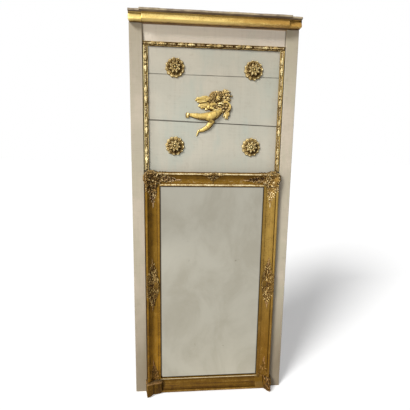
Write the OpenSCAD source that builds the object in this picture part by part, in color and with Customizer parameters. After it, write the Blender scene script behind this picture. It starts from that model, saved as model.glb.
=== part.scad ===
// Trumeau mirror: a tall painted panel with a gilt cornice and a carved gilt border,
// four rosettes and a winged putto, above a gilt-framed mirror with cast ornaments.
// The origin is the middle of the base. +Z is up and the front faces -Y.

/* [Carcase] */
// Overall width across the two stiles
carcase_w = 800; // [740:10:960]
// Height of the stiles, up to the underside of the cornice
stile_h = 1880; // [1820:10:2100]
// Width of each stile
stile_w = 60; // [50:1:72]
// Bevel along the front edges of the stiles
stile_bevel = 2; // [1:0.5:4]
// How far the boards lie behind the faces of the stiles
board_recess = 12; // [10:1:16]
// Thickness of the boards
board_t = 12; // [10:1:16]
// Depth of the grooves that hold the board ends
groove_d = 10; // [7:1:12]
// Room left beyond the board ends for the wood to move
board_end_gap = 1; // [0.5:0.5:2]
// Height of the top rail that joins the stiles
top_rail_h = 28; // [24:1:40]
// Length of the stub tenons on top of the stiles
tenon_l = 16; // [10:1:20]
// Shoulder on the outer side of each tenon
tenon_shoulder = 12; // [8:1:16]
// Clearance round each tenon
tenon_fit = 0.2; // [0.1:0.1:0.5]

/* [Boards] */
// Height of the frieze board under the cornice
frieze_h = 84; // [70:1:100]
// Height of the board with the upper rosettes
upper_board_h = 132; // [120:1:160]
// Height of the board below it, at its middle
middle_board_h = 222; // [190:1:250]
// Rise of the lower seam from right to left, where the boards were cut askew
seam_rise = 17; // [0:1:30]
// Width of the open seams between the boards
seam_gap = 2.5; // [1:0.5:4]
// Length of the tongue along the top edge of each board
tongue_l = 7; // [5:1:10]
// Thickness of the tongue
tongue_t = 4; // [3:0.5:5]
// Clearance round the tongue in its groove
tongue_fit = 0.2; // [0.1:0.1:0.4]
// Number of boards behind the mirror
back_boards = 4; // [3:1:4]
// Gap under the lowest board
board_lift = 3; // [0:1:10]
// How far the lowest panel board runs down behind the mirror frame
panel_overlap = 53; // [30:1:60]

/* [Battens] */
// Height of each batten
batten_w = 60; // [45:1:80]
// Thickness of the battens
batten_t = 12; // [10:1:18]
// Distance from the outer side of the stiles to the batten ends
batten_stop = 15; // [10:1:20]
// Height of the middle of the bottom batten
bottom_batten_z = 90; // [60:5:140]
// Distance from the top of the stiles to the middle of the top batten
top_batten_drop = 110; // [90:5:160]
// Diameter of the two hanging holes in the top batten
hanging_hole_d = 10; // [8:0.5:14]
// Distance between the two hanging holes
hanging_hole_spread = 500; // [400:10:600]

/* [Cornice] */
// Reach of the top board in front of the stiles
cornice_reach = 60; // [56:1:75]
// How far the middle of the cornice breaks forward
breakfront = 12; // [6:1:14]
// Thickness of the cornice top board
cornice_board_t = 15; // [12:1:20]
// Distance from the outer side of the stiles to the ends of the cornice
cornice_inset = 3; // [0:0.5:5]
// Width of each end of the cornice beside the breakfront
cornice_end_w = 50; // [45:1:60]
// Length of the splayed corner of the top board
cornice_splay = 25; // [10:1:35]
// Height of the gilt round moulding
torus_h = 22; // [18:1:24]
// How far the round moulding bulges
torus_bulge = 6; // [3:0.5:8]
// Setback of the widest part of the moulding behind the edge of the top board
torus_setback = 8; // [4:1:12]
// Setback of the shadow groove behind the round moulding
neck_setback = 12; // [6:1:16]
// Gap between the middle moulding and the end mouldings
moulding_gap = 1.5; // [0.5:0.5:3]

/* [Carved border] */
// Width of the carved strips
border_w = 22; // [18:1:26]
// Height of the strips over the boards
border_t = 19; // [15:1:22]
// Gap between the side strips and the stiles
border_gap = 2.5; // [1:0.5:6]
// Distance from the underside of the cornice to the top strip
border_drop = 77; // [65:1:90]
// Distance between neighbouring leaves
leaf_pitch = 66; // [56:1:80]
// Length of a leaf
leaf_l = 44; // [36:1:50]
// Thickness of a leaf
leaf_t = 12; // [8:1:14]
// Diameter of the beads between the leaves
border_bead_d = 9; // [6:1:11]
// Gap between the side strips and the mirror frame
border_foot_gap = 7; // [6:1:20]

/* [Rosettes] */
// Diameter of a rosette
rosette_d = 90; // [76:1:100]
// Height of a rosette over the boards
rosette_t = 26; // [24:1:32]
// Distance from the stiles to the middle of the rosettes
rosette_side = 151; // [120:1:170]
// Distance from the cornice down to the middle of the upper rosettes
rosette_drop = 186; // [170:1:200]
// Distance from the mirror frame up to the middle of the lower rosettes
rosette_lift = 127; // [100:1:140]
// Number of outer petals
outer_petals = 12; // [8:1:14]
// Number of inner petals
inner_petals = 6; // [5:1:7]

/* [Putto] */
// Width of the flying figure
putto_w = 225; // [200:5:240]
// Place of the middle of the figure to the left of the middle of the panel
putto_left = 26; // [-20:1:60]
// Distance from the slanted seam up to the middle of the figure
putto_lift = 50; // [20:1:80]

/* [Mirror frame] */
// Gap between the mirror frame and the stiles
frame_gap = 5; // [2:0.5:8]
// Height of the mirror frame
frame_h = 1197; // [1140:1:1230]
// Height of the mirror frame over the floor
frame_lift = 6; // [4:0.5:10]
// Width of the frame rails
rail_w = 70; // [66:1:78]
// Width of the rebate that holds the glass
rebate_w = 10; // [8:1:11]
// Depth of the rebate
rebate_d = 9; // [8:0.5:10]
// Radius of the round outer edge
outer_bead_r = 7; // [6:0.5:8]
// Height of the outer edge over the boards
rail_t = 40; // [38:1:44]
// Width of the quirk between the outer edge and the hollow
quirk_w = 3; // [2:0.5:4]
// Radius of the hollow
cove_r = 40; // [36:1:60]
// Radius of the bead round the glass
sight_bead_r = 6; // [5:0.5:6.5]
// Height of the bead round the glass over the boards
sight_bead_t = 19; // [18:0.5:21]

/* [Glass] */
// Thickness of the mirror glass
glass_t = 3; // [2:0.5:4]
// Clearance round the edge of the glass
glass_fit = 1; // [0.5:0.5:2]
// Number of backing boards behind the glass
backing_boards = 3; // [2:1:4]

/* [Ornaments] */
// Clearance between the cast ornaments and the surfaces under them
ornament_fit = 0.3; // [0.2:0.1:0.5]
// Height of the middle of the side ornaments over the middle of the mirror frame
side_ornament_lift = 13; // [-20:1:40]

/* [Fasteners] */
// Diameter of the screws
screw_d = 4; // [3:0.5:5]
// Diameter of the countersunk screw heads
screw_head_d = 8; // [7:0.5:9]
// Length of the batten screws
batten_screw_l = 28; // [24:1:30]
// Length of the screws that hold the mirror frame
frame_screw_l = 26; // [22:1:28]
// Diameter of the cut nails
nail_d = 2.5; // [2:0.5:3.5]
// Diameter of the nail heads
nail_head_d = 6; // [5:0.5:8]
// Length of the batten nails
batten_nail_l = 20; // [16:1:22]
// Length of the cornice nails
cornice_nail_l = 36; // [28:1:40]
// Distance of the outer cornice nails from the stiles
cornice_nail_inset = 10; // [6:1:30]
// Distance between the two screws in the top rail, and in the bottom rail, of the mirror frame
frame_screw_spread = 290; // [200:10:400]
// Distance of the frame screws from the outer edge of the mirror frame
frame_screw_edge = 30; // [22:1:38]
// Distance of the batten screws from the edges of the battens
batten_screw_edge = 14; // [10:1:18]
// How far the batten nails stand above or below the middle of the batten
batten_nail_stagger = 12; // [0:1:18]
// Clearance round screws and nails
fastener_fit = 0.15; // [0.1:0.05:0.3]

/* [Hidden] */
$fn = 48;

// Small overshoot of cutting shapes beyond the faces they cut
eps = 1;
// Facets round the cast ornaments
cast_fn = 8;

// Planes across the depth, from front to back
carcase_d = board_recess + board_t + batten_t;
y_face = (cornice_reach - carcase_d) / 2;
y_board = y_face + board_recess;
y_board_back = y_board + board_t;
y_back = y_face + carcase_d;

// Carcase
half_w = carcase_w / 2;
opening_half = half_w - stile_w;
board_half = opening_half + groove_d - board_end_gap;
tenon_wall = 2;
tenon_w = stile_w - groove_d - tenon_wall - tenon_shoulder;
rail_top_z = stile_h + top_rail_h;

// Seams between the boards, from the cornice down
frieze_seam_z = stile_h - frieze_h;
upper_seam_z = frieze_seam_z - upper_board_h;
lower_seam_z = upper_seam_z - middle_board_h;
frame_top_z = frame_lift + frame_h;
mirror_seam_z = frame_top_z - panel_overlap;
back_board_h = (mirror_seam_z - board_lift) / back_boards;
function back_seam_z(i) = board_lift + i * back_board_h;

// Battens
batten_zs = [for (i = [0:3])
    bottom_batten_z + i * (stile_h - top_batten_drop - bottom_batten_z) / 3];
batten_half = half_w - batten_stop;
batten_screw_x = (opening_half + groove_d + batten_half) / 2;
batten_screw_dz = batten_w / 2 - batten_screw_edge;
batten_nail_xs = [-opening_half / 2, 0, opening_half / 2];

// Cornice
cornice_half = half_w - cornice_inset;
break_half = half_w - cornice_end_w;
cornice_nail_xs = [for (i = [-2:2]) i * (opening_half - cornice_nail_inset) / 2];

// Mirror frame
frame_w = 2 * (opening_half - frame_gap);
frame_mid_z = frame_lift + frame_h / 2;
crest_w = 1;
crest_drop = 6;
quirk_depth = 2;
sight_edge = 1;
cove_start = [2 * outer_bead_r + quirk_w + crest_w, rail_t - crest_drop];
cove_end = [rail_w - 2 * (sight_bead_r + sight_edge), sight_bead_t - sight_bead_r];

// Border: a foot on each side of a hollow, with the leaves in the hollow
border_foot = 4;
border_hollow_r = border_w - border_foot - 2;
leaf_seat = border_foot + border_hollow_r * cos(45);
border_half = opening_half - border_gap;
border_top_z = stile_h - border_drop;
border_foot_z = frame_top_z + border_foot_gap;

// Middle of an arc of radius r from p to q, on the left of the way from q to p
function arc_middle(p, q, r) =
    let (half = norm(q - p) / 2, rise = sqrt(r * r - half * half))
    (p + q) / 2 + [p[1] - q[1], q[0] - p[0]] / (2 * half) * rise;

// An outline in X and Z, made solid from y to y + t
module upright(y, t) translate([0, y + t, 0]) rotate([90, 0, 0]) linear_extrude(t) children();

// Both mirror images of a piece across the middle
module both_sides() {
    children();
    mirror([1, 0, 0]) children();
}

// A straight length of moulding along X with its outer edge at z = 0 and its back on y = 0.
// The section's x runs inwards from the outer edge, and its y runs forwards.
module moulding(l, w, mitre_a, mitre_b) {
    depth = 80;
    intersection() {
        rotate([180, 0, 0]) rotate([0, 90, 0]) linear_extrude(l, center = true) children();
        translate([0, depth, 0]) rotate([90, 0, 0]) linear_extrude(2 * depth) polygon([
            [-l / 2, 0], [l / 2, 0], [l / 2 - (mitre_b ? w : 0), w], [-l / 2 + (mitre_a ? w : 0), w]
        ]);
    }
}

// ---- Fasteners ----

// A slotted countersunk wood screw with the top of its head at z = 0
module screw(l) {
    head_h = (screw_head_d - screw_d) / 2;
    slot_w = 1;
    tip = 4;
    difference() {
        union() {
            cylinder(h = head_h, d1 = screw_head_d, d2 = screw_d);
            cylinder(h = l - tip, d = screw_d);
            translate([0, 0, l - tip]) cylinder(h = tip, d1 = screw_d, d2 = 1);
        }
        translate([-screw_head_d, -slot_w / 2, -eps]) cube([2 * screw_head_d, slot_w, eps + 0.9]);
    }
}

module screw_hole(l) {
    head_h = (screw_head_d - screw_d) / 2;
    translate([0, 0, -eps]) cylinder(h = eps, d = screw_head_d + 2 * fastener_fit);
    cylinder(h = head_h, d1 = screw_head_d + 2 * fastener_fit, d2 = screw_d + 2 * fastener_fit);
    cylinder(h = l + fastener_fit, d = screw_d + 2 * fastener_fit);
}

// A nail with a flat head whose top is at z = 0
module nail(l) {
    head_t = 1.5;
    cylinder(h = head_t, d = nail_head_d);
    cylinder(h = l, d = nail_d);
}

module nail_hole(l) {
    head_t = 1.5;
    translate([0, 0, -eps])
        cylinder(h = eps + head_t + fastener_fit, d = nail_head_d + 2 * fastener_fit);
    cylinder(h = l + fastener_fit, d = nail_d + 2 * fastener_fit);
}

// Places of the batten screws, pointing forwards from the back
module at_batten_screws(z)
    for (sx = [-1, 1], sz = [-1, 1])
        translate([sx * batten_screw_x, y_back, z + sz * batten_screw_dz])
            rotate([90, 0, 0]) children();

module at_batten_nails(z)
    for (i = [0:2])
        translate([batten_nail_xs[i], y_back, z + (i == 1 ? 1 : -1) * batten_nail_stagger])
            rotate([90, 0, 0]) children();

// Places of the screws from behind the boards into the mirror frame
module at_frame_screws() {
    for (sx = [-1, 1], sz = [-1, 1])
        translate([sx * (frame_w / 2 - frame_screw_edge), y_board_back, frame_mid_z + sz * frame_h / 4])
            rotate([90, 0, 0]) children();
    for (sx = [-1, 1], z = [frame_lift + frame_screw_edge, frame_top_z - frame_screw_edge])
        translate([sx * frame_screw_spread / 2, y_board_back, z]) rotate([90, 0, 0]) children();
}

// Places of the nails down through the cornice board into the top rail
module at_cornice_nails()
    for (x = cornice_nail_xs)
        translate([x, y_face + carcase_d / 2, rail_top_z + cornice_board_t])
            rotate([180, 0, 0]) children();

// ---- Carcase ----

// The left stile: bevelled front edges, a groove for the boards, housings for the battens
module stile() {
    b = stile_bevel;
    difference() {
        union() {
            translate([-half_w, y_face, 0]) linear_extrude(stile_h) polygon([
                [0, carcase_d], [0, b], [b, 0], [stile_w - b, 0], [stile_w, b], [stile_w, carcase_d]
            ]);
            translate([-half_w + tenon_shoulder, y_board, stile_h]) cube([tenon_w, board_t, tenon_l]);
        }
        translate([-opening_half - groove_d, y_board, -eps])
            cube([groove_d + eps, board_t, stile_h + eps]);
        for (z = batten_zs) {
            translate([-batten_half, y_board_back, z - batten_w / 2])
                cube([batten_half, batten_t + eps, batten_w]);
            at_batten_screws(z) screw_hole(batten_screw_l);
        }
    }
}

module left_stile() color([0.76, 0.71, 0.62]) stile();
module right_stile() color([0.76, 0.71, 0.62]) mirror([1, 0, 0]) stile();

module top_rail() color([0.55, 0.44, 0.32]) difference() {
    translate([-cornice_half, y_face, stile_h]) cube([2 * cornice_half, carcase_d, top_rail_h]);
    translate([-opening_half - groove_d, y_board, stile_h - eps])
        cube([2 * (opening_half + groove_d), board_t, groove_d + eps]);
    both_sides()
        translate([-half_w + tenon_shoulder - tenon_fit, y_board - tenon_fit, stile_h - eps])
            cube([tenon_w + 2 * tenon_fit, board_t + 2 * tenon_fit, tenon_l + tenon_fit + eps]);
    at_cornice_nails() nail_hole(cornice_nail_l);
}

// A board between two seams. Each seam is given by its height at the left and the right.
module board(low, high, groove = true, tongue = true) {
    rise = (high[0] - high[1]) / (2 * opening_half);
    top_l = high[0] + rise * groove_d;
    top_r = high[1] - rise * groove_d;
    fall = (low[0] - low[1]) / (2 * opening_half);
    low_l = low[0] + fall * groove_d;
    low_r = low[1] - fall * groove_d;
    x = board_half;
    cheek = (board_t - tongue_t) / 2;
    difference() {
        union() {
            upright(y_board, board_t) polygon([[-x, low_l], [x, low_r], [x, top_r], [-x, top_l]]);
            if (tongue) upright(y_board + cheek, tongue_t) polygon([
                [-x, top_l], [x, top_r], [x, top_r + tongue_l], [-x, top_l + tongue_l]
            ]);
        }
        if (groove) upright(y_board + cheek - tongue_fit, tongue_t + 2 * tongue_fit) polygon([
            [-x - eps, low_l - eps], [x + eps, low_r - eps],
            [x + eps, low_r + tongue_l - seam_gap + 1], [-x - eps, low_l + tongue_l - seam_gap + 1]
        ]);
        for (z = batten_zs) at_batten_nails(z) nail_hole(batten_nail_l);
        at_frame_screws() screw_hole(frame_screw_l);
    }
}

function above(z) = [z + seam_gap / 2, z + seam_gap / 2];
function below(z) = [z - seam_gap / 2, z - seam_gap / 2];
skew = [seam_rise / 2, -seam_rise / 2];
board_colour = [0.74, 0.72, 0.63];
raw_wood = [0.58, 0.46, 0.33];

module frieze_board() color(board_colour) {
    top = stile_h + groove_d - board_end_gap;
    board(above(frieze_seam_z), [top, top], tongue = false);
}
module upper_board() color(board_colour) board(above(upper_seam_z), below(frieze_seam_z));
module middle_board() color(board_colour)
    board(above(lower_seam_z) + skew, below(upper_seam_z));
module lower_board() color(board_colour)
    board(above(mirror_seam_z), below(lower_seam_z) + skew);
module back_board(i) color(raw_wood)
    if (i <= back_boards) board(
        i == 1 ? [board_lift, board_lift] : above(back_seam_z(i - 1)),
        below(back_seam_z(i)), groove = i > 1
    );

// ---- Battens ----

module batten(i) color(raw_wood) difference() {
    z = batten_zs[i];
    translate([-batten_half, y_board_back, z - batten_w / 2])
        cube([2 * batten_half, batten_t, batten_w]);
    at_batten_screws(z) screw_hole(batten_screw_l);
    at_batten_nails(z) nail_hole(batten_nail_l);
    if (i == 3) both_sides() translate([hanging_hole_spread / 2, y_back + eps, z])
        rotate([90, 0, 0]) cylinder(h = batten_t + 2 * eps, d = hanging_hole_d);
}

module batten_screws() color("dimgray")
    for (z = batten_zs) at_batten_screws(z) screw(batten_screw_l);
module batten_nails() color("dimgray")
    for (z = batten_zs) at_batten_nails(z) nail(batten_nail_l);
module frame_screws() color("dimgray") at_frame_screws() screw(frame_screw_l);
module cornice_nails() color("dimgray") at_cornice_nails() nail(cornice_nail_l);

// ---- Cornice ----

cornice_gilt = [0.90, 0.75, 0.38];

module cornice_board() color([0.62, 0.57, 0.47]) difference() {
    back = y_back;
    front = y_face - cornice_reach;
    end_front = front + breakfront;
    turn = break_half - cornice_splay;
    translate([0, 0, rail_top_z]) linear_extrude(cornice_board_t) polygon([
        [-cornice_half, back], [-cornice_half, end_front], [-break_half, end_front], [-turn, front],
        [turn, front], [break_half, end_front], [cornice_half, end_front], [cornice_half, back]
    ]);
    at_cornice_nails() nail_hole(cornice_nail_l);
}

// Section of the cornice moulding: a round gilt member under a square shadow groove
module cornice_section(reach) {
    body = reach - torus_setback - torus_bulge;
    r = (torus_h * torus_h / 4 + torus_bulge * torus_bulge) / (2 * torus_bulge);
    square([body, torus_h]);
    intersection() {
        translate([body + torus_bulge - r, torus_h / 2]) circle(r);
        square([reach, torus_h]);
    }
    square([reach - torus_setback - neck_setback, top_rail_h]);
}

module cornice_moulding(x0, x1, reach) color(cornice_gilt)
    translate([x1, y_face, stile_h]) rotate([90, 0, -90])
        linear_extrude(x1 - x0) cornice_section(reach);

module cornice_centre_moulding() {
    half = break_half - cornice_splay / 2;
    cornice_moulding(-half, half, cornice_reach);
}
module cornice_end_moulding()
    cornice_moulding(
        break_half - cornice_splay / 2 + moulding_gap, cornice_half, cornice_reach - breakfront
    );
module cornice_left_moulding() mirror([1, 0, 0]) cornice_end_moulding();
module cornice_right_moulding() cornice_end_moulding();

// ---- Carved border ----

module border_section() {
    square([border_w, border_foot]);
    square([border_foot, border_t]);
    intersection() {
        translate([border_foot, border_foot]) circle(border_hollow_r);
        square([border_w, border_t]);
    }
}

// A leaf: a long bud along X, thickest in the middle
module leaf() hull() {
    tip_d = leaf_t / 4;
    sphere(d = leaf_t, $fn = cast_fn);
    for (s = [-1, 1]) translate([s * (leaf_l - tip_d) / 2, 0, 0]) sphere(d = tip_d, $fn = 4);
}

module border_strip(l, mitre_a, mitre_b) color([0.80, 0.68, 0.40]) {
    n = floor((l - 2 * border_w) / leaf_pitch);
    moulding(l, border_w, mitre_a, mitre_b) border_section();
    translate([0, -leaf_seat, leaf_seat]) {
        for (i = [0:n - 1]) translate([(i - (n - 1) / 2) * leaf_pitch, 0, 0]) leaf();
        for (i = [0:n - 2]) translate([(i - (n - 2) / 2) * leaf_pitch, 0, 0])
            sphere(d = border_bead_d, $fn = cast_fn);
    }
}

module border_top() translate([0, y_board, border_top_z]) rotate([0, 180, 0])
    border_strip(2 * border_half, true, true);
module border_left() translate([-border_half, y_board, (border_top_z + border_foot_z) / 2])
    rotate([0, 90, 0]) border_strip(border_top_z - border_foot_z, true, false);
module border_right() translate([border_half, y_board, (border_top_z + border_foot_z) / 2])
    rotate([0, -90, 0]) border_strip(border_top_z - border_foot_z, false, true);

// ---- Rosettes ----

module rosette() color([0.80, 0.66, 0.36]) rotate([90, 0, 0]) {
    rim = rosette_d / 2;
    petal_r = rim * 0.2;
    inner_r = rim * 0.24;
    button_r = rim * 0.14;
    difference() {
        union() {
            cylinder(h = 3, r = rim - petal_r);
            cylinder(h = rosette_t - button_r - 6, r1 = rim - petal_r, r2 = inner_r);
            for (i = [0:outer_petals - 1]) rotate(i * 360 / outer_petals)
                translate([rim - petal_r, 0, 2]) sphere(r = petal_r);
            for (i = [0:inner_petals - 1]) rotate((i + 0.5) * 360 / inner_petals)
                translate([rim * 0.42, 0, rosette_t - 6 - inner_r]) sphere(r = inner_r);
            translate([0, 0, rosette_t - button_r]) sphere(r = button_r);
        }
        translate([-rosette_d, -rosette_d, -rosette_d]) cube([2 * rosette_d, 2 * rosette_d, rosette_d]);
    }
}

rosette_x = opening_half - rosette_side;
module rosette_at(side, z) translate([side * rosette_x, y_board, z]) rosette();
rosette_high_z = stile_h - rosette_drop;
rosette_low_z = frame_top_z + rosette_lift;

// ---- Cast forms ----

// A ball and a tapered limb between two balls. Each is [x, z, height, radius].
module ball(a) translate([a[0], -a[2], a[1]]) sphere(r = a[3], $fn = cast_fn);
module limb(a, b) hull() {
    ball(a);
    ball(b);
}
// Limbs from each ball of a list to the next
module limbs(list) for (i = [0:len(list) - 2]) limb(list[i], list[i + 1]);

// The flying figure: heights are over the boards
hip = [14, -30, 10, 22];
chest = [46, 8, 12, 21];
neck = [44, 34, 12, 9];
head = [42, 62, 14, 20];
near_leg = [[6, -22, 8, 23], [-46, -12, 7, 17], [-86, -14, 6, 11], [-103, -12, 6, 8]];
far_leg = [[16, -38, 8, 19], [-4, -70, 8, 16], [-44, -90, 6, 11], [-56, -112, 4, 5]];
near_arm = [[28, 22, 20, 12], [-2, 6, 20, 10], [28, 10, 22, 8]];
far_arm = [[56, 22, 14, 10], [70, 34, 16, 8], [84, 24, 10, 6]];
wing_high = [[27, 29, 8, 13], [0, 44, 8, 14], [-38, 58, 8, 15], [-66, 54, 4, 10]];
wing_low = [[2, 34, 7, 13], [-38, 30, 7, 14], [-54, 23, 4, 10]];
drape = [[84, 30, 8, 9], [95, 4, 6, 10], [86, -20, 4, 6]];
flowers = [[68, 82, 8, 15], [83, 100, 6, 12], [94, 80, 6, 13], [88, 58, 8, 14], [68, 60, 8, 12]];

module putto() color([0.83, 0.68, 0.33])
    translate([-putto_left, y_board, lower_seam_z + putto_lift]) scale(putto_w / 225)
        difference() {
            union() {
                limb(hip, chest);
                limb(chest, neck);
                limb(neck, head);
                limbs(near_leg);
                limbs(far_leg);
                limbs(near_arm);
                limbs(far_arm);
                limbs(wing_high);
                limbs(wing_low);
                limbs(drape);
                for (f = flowers) ball(f);
            }
            translate([-putto_w, 0, -putto_w]) cube([2 * putto_w, putto_w, 2 * putto_w]);
        }

// ---- Mirror frame ----

// Section of a frame rail, from its outer edge inwards and from the boards forwards:
// a round outer edge, a quirk, a hollow, and a bead beside the glass
module rail_section() {
    crest = [cove_start[0] - crest_w, rail_t - outer_bead_r - quirk_depth];
    difference() {
        union() {
            polygon([
                [0, 0], [rail_w, 0], [rail_w, cove_end[1]], cove_end, cove_start, crest, [0, crest[1]]
            ]);
            translate([outer_bead_r, rail_t - outer_bead_r]) circle(outer_bead_r);
            square([2 * outer_bead_r, rail_t - outer_bead_r]);
            translate([rail_w - sight_bead_r - sight_edge, cove_end[1]]) circle(sight_bead_r);
        }
        translate(arc_middle(cove_start, cove_end, cove_r)) circle(cove_r);
        translate([rail_w - rebate_w, -eps]) square([rebate_w + eps, rebate_d + eps]);
    }
}

// One of the four rails, turned so that its outer edge faces the given way
module frame_rail(turn, l, off) translate([0, y_board, frame_mid_z]) rotate([0, turn, 0])
    translate([0, 0, -off]) moulding(l, rail_w, true, true) rail_section();

module rail_with_holes(turn, l, off) color([0.66, 0.50, 0.22]) difference() {
    frame_rail(turn, l, off);
    at_frame_screws() screw_hole(frame_screw_l);
}

module frame_bottom_rail() rail_with_holes(0, frame_w, frame_h / 2);
module frame_top_rail() rail_with_holes(180, frame_w, frame_h / 2);
module frame_left_rail() rail_with_holes(90, frame_h, frame_w / 2);
module frame_right_rail() rail_with_holes(-90, frame_h, frame_w / 2);

// ---- Glass ----

sight_half = frame_w / 2 - rail_w;
glass_half = sight_half + rebate_w - glass_fit;
glass_low_z = frame_lift + rail_w - rebate_w + glass_fit;
glass_h = frame_h - 2 * (rail_w - rebate_w + glass_fit);

module mirror_glass() color([0.62, 0.66, 0.66])
    translate([-glass_half, y_board - rebate_d, glass_low_z])
        cube([2 * glass_half, glass_t, glass_h]);

module glass_backing() color(raw_wood) {
    w = 2 * glass_half / backing_boards;
    for (i = [0:backing_boards - 1])
        translate([-glass_half + i * w, y_board - rebate_d + glass_t, glass_low_z])
            cube([w - 1, rebate_d - glass_t, glass_h]);
}

// ---- Cast ornaments on the mirror frame ----

// What the ornaments sit on: the rails with a little room, and all behind the stile faces
module ornament_seat() {
    mitre_lap = 1;
    for (turn = [0, 180]) seat_rail(turn, frame_w + mitre_lap, frame_h / 2);
    for (turn = [90, -90]) seat_rail(turn, frame_h + mitre_lap, frame_w / 2);
    translate([-carcase_w, y_face - ornament_fit, -carcase_w])
        cube([2 * carcase_w, carcase_d, stile_h + 2 * carcase_w]);
}
module seat_rail(turn, l, off) translate([0, y_board, frame_mid_z]) rotate([0, turn, 0])
    translate([0, 0, -off - ornament_fit])
        moulding(l + 2 * ornament_fit, rail_w + 2 * ornament_fit, true, true)
            translate([ornament_fit, 0]) offset(delta = ornament_fit) rail_section();

cast_gilt = [0.62, 0.47, 0.24];

// Leafy corner with a fluted shell, drawn for the top left corner of the frame.
// Its zero is the outer corner: x runs inwards, z upwards, heights are over the stile faces.
shell = [38, -38, 12, 32];
shell_heart = [30, -30, 24, 16];
shell_tips = [[4, -58, 21, 11], [4, -32, 22, 11], [12, -12, 24, 11], [34, -6, 22, 11], [62, -7, 21, 11]];
leaf_run = [[66, -30, 14, 24], [106, -33, 12, 19], [144, -32, 10, 12], [178, -30, 9, 4]];
leaf_tips = [[92, -9, 22, 9], [124, -14, 20, 8], [124, -54, 6, 9], [156, -46, 6, 7]];

// The same point on the other arm, a little off the mirror image as hand work is
function flipped(p) = [-p[1], -p[0] + 1, p[2], p[3]];

module leafy_arm(run, tips) {
    limbs(run);
    for (i = [0:len(tips) - 1]) limb(run[i < 2 ? i : i - 1], tips[i]);
}

module leafy_corner() {
    ball(shell);
    for (tip = shell_tips) limb(shell_heart, tip);
    leafy_arm(leaf_run, leaf_tips);
    leafy_arm([for (p = leaf_run) flipped(p)], [for (p = leaf_tips) flipped(p)]);
}

// Bottom left corner: a worn ear that reaches the floor in front of the frame, and leaves
// that run up the side rail. Its zero is the outer corner.
ear_run = [[16, 76, 18, 15], [12, 48, 20, 21], [8, 20, 30, 16], [4, 3, 40, 9]];
ear_side = [[34, 38, 14, 25], [64, 30, 6, 16]];
foot_run = [[34, 78, 10, 25], [32, 116, 9, 20], [30, 152, 8, 12], [27, 186, 7, 4]];
foot_tips = [[9, 108, 22, 9], [11, 140, 20, 8], [57, 112, 5, 9], [50, 146, 5, 7]];

module ear_corner() {
    limbs(ear_run);
    limbs(ear_side);
    limb(ear_run[1], ear_side[0]);
    leafy_arm(foot_run, foot_tips);
}

// Cluster in the middle of the top rail, a triangle that points down
centre_heart = [0, -16, 18, 20];
centre_arm = [[12, -12, 20, 13], [38, -9, 20, 10]];
centre_leaf = [[10, -22, 14, 12], [28, -28, 10, 9]];
centre_drop = [[0, -18, 16, 14], [0, -46, 6, 8]];

module centre_cluster() {
    ball(centre_heart);
    both_sides() {
        limbs(centre_arm);
        limbs(centre_leaf);
    }
    limbs(centre_drop);
}

// Long leaf ornament in the middle of a side rail
side_core = [[30, -52, 12, 25], [30, 52, 12, 25]];
side_bulge = [[26, 0, 14, 22], [8, 2, 20, 15]];
side_spine = [[28, 62, 12, 20], [30, 104, 10, 13], [30, 146, 8, 4]];
side_root = [30, -18, 12, 14];
side_leaves = [[58, 24, 4, 10], [56, 62, 4, 9], [6, 44, 20, 11], [10, 84, 18, 9]];

module side_spray() {
    limbs(side_core);
    limbs(side_bulge);
    for (s = [-1, 1]) {
        limbs([for (p = side_spine) [p[0], s * p[1], p[2], p[3]]]);
        for (p = side_leaves) limb(
            [side_root[0], s * (p[1] + side_root[1]), side_root[2], side_root[3]],
            [p[0], s * p[1], p[2], p[3]]
        );
    }
}

// Puts an ornament at the top left corner of the frame, or the one that the signs give
module on_frame(x, z, sx) color(cast_gilt) difference() {
    translate([sx * x, y_face, z]) mirror([sx > 0 ? 1 : 0, 0, 0]) children();
    ornament_seat();
}

frame_half = frame_w / 2;
module top_left_ornament() on_frame(frame_half, frame_top_z, -1) leafy_corner();
module top_right_ornament() on_frame(frame_half, frame_top_z, 1) leafy_corner();
module bottom_left_ornament() on_frame(frame_half, frame_lift, -1) ear_corner();
module bottom_right_ornament() on_frame(frame_half, frame_lift, 1) ear_corner();
module top_centre_ornament() on_frame(0, frame_top_z, -1) centre_cluster();
module left_side_ornament() on_frame(frame_half, frame_mid_z + side_ornament_lift, -1) side_spray();
module right_side_ornament() on_frame(frame_half, frame_mid_z + side_ornament_lift, 1) side_spray();

left_stile();
right_stile();
top_rail();
frieze_board();
upper_board();
middle_board();
lower_board();
back_board(1);  // back_board_1
back_board(2);  // back_board_2
back_board(3);  // back_board_3
back_board(4);  // back_board_4
batten(0);  // bottom_batten
batten(1);  // lower_batten
batten(2);  // upper_batten
batten(3);  // top_batten
cornice_board();
cornice_centre_moulding();
cornice_left_moulding();
cornice_right_moulding();
border_top();
border_left();
border_right();
rosette_at(-1, rosette_high_z);  // rosette_upper_left
rosette_at(1, rosette_high_z);  // rosette_upper_right
rosette_at(-1, rosette_low_z);  // rosette_lower_left
rosette_at(1, rosette_low_z);  // rosette_lower_right
putto();
frame_top_rail();
frame_bottom_rail();
frame_left_rail();
frame_right_rail();
top_left_ornament();
top_right_ornament();
bottom_left_ornament();
bottom_right_ornament();
top_centre_ornament();
left_side_ornament();
right_side_ornament();
mirror_glass();
glass_backing();
batten_screws();
batten_nails();
frame_screws();
cornice_nails();
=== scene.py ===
import math

import bpy
import numpy as np
from mathutils import Matrix, Vector


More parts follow.
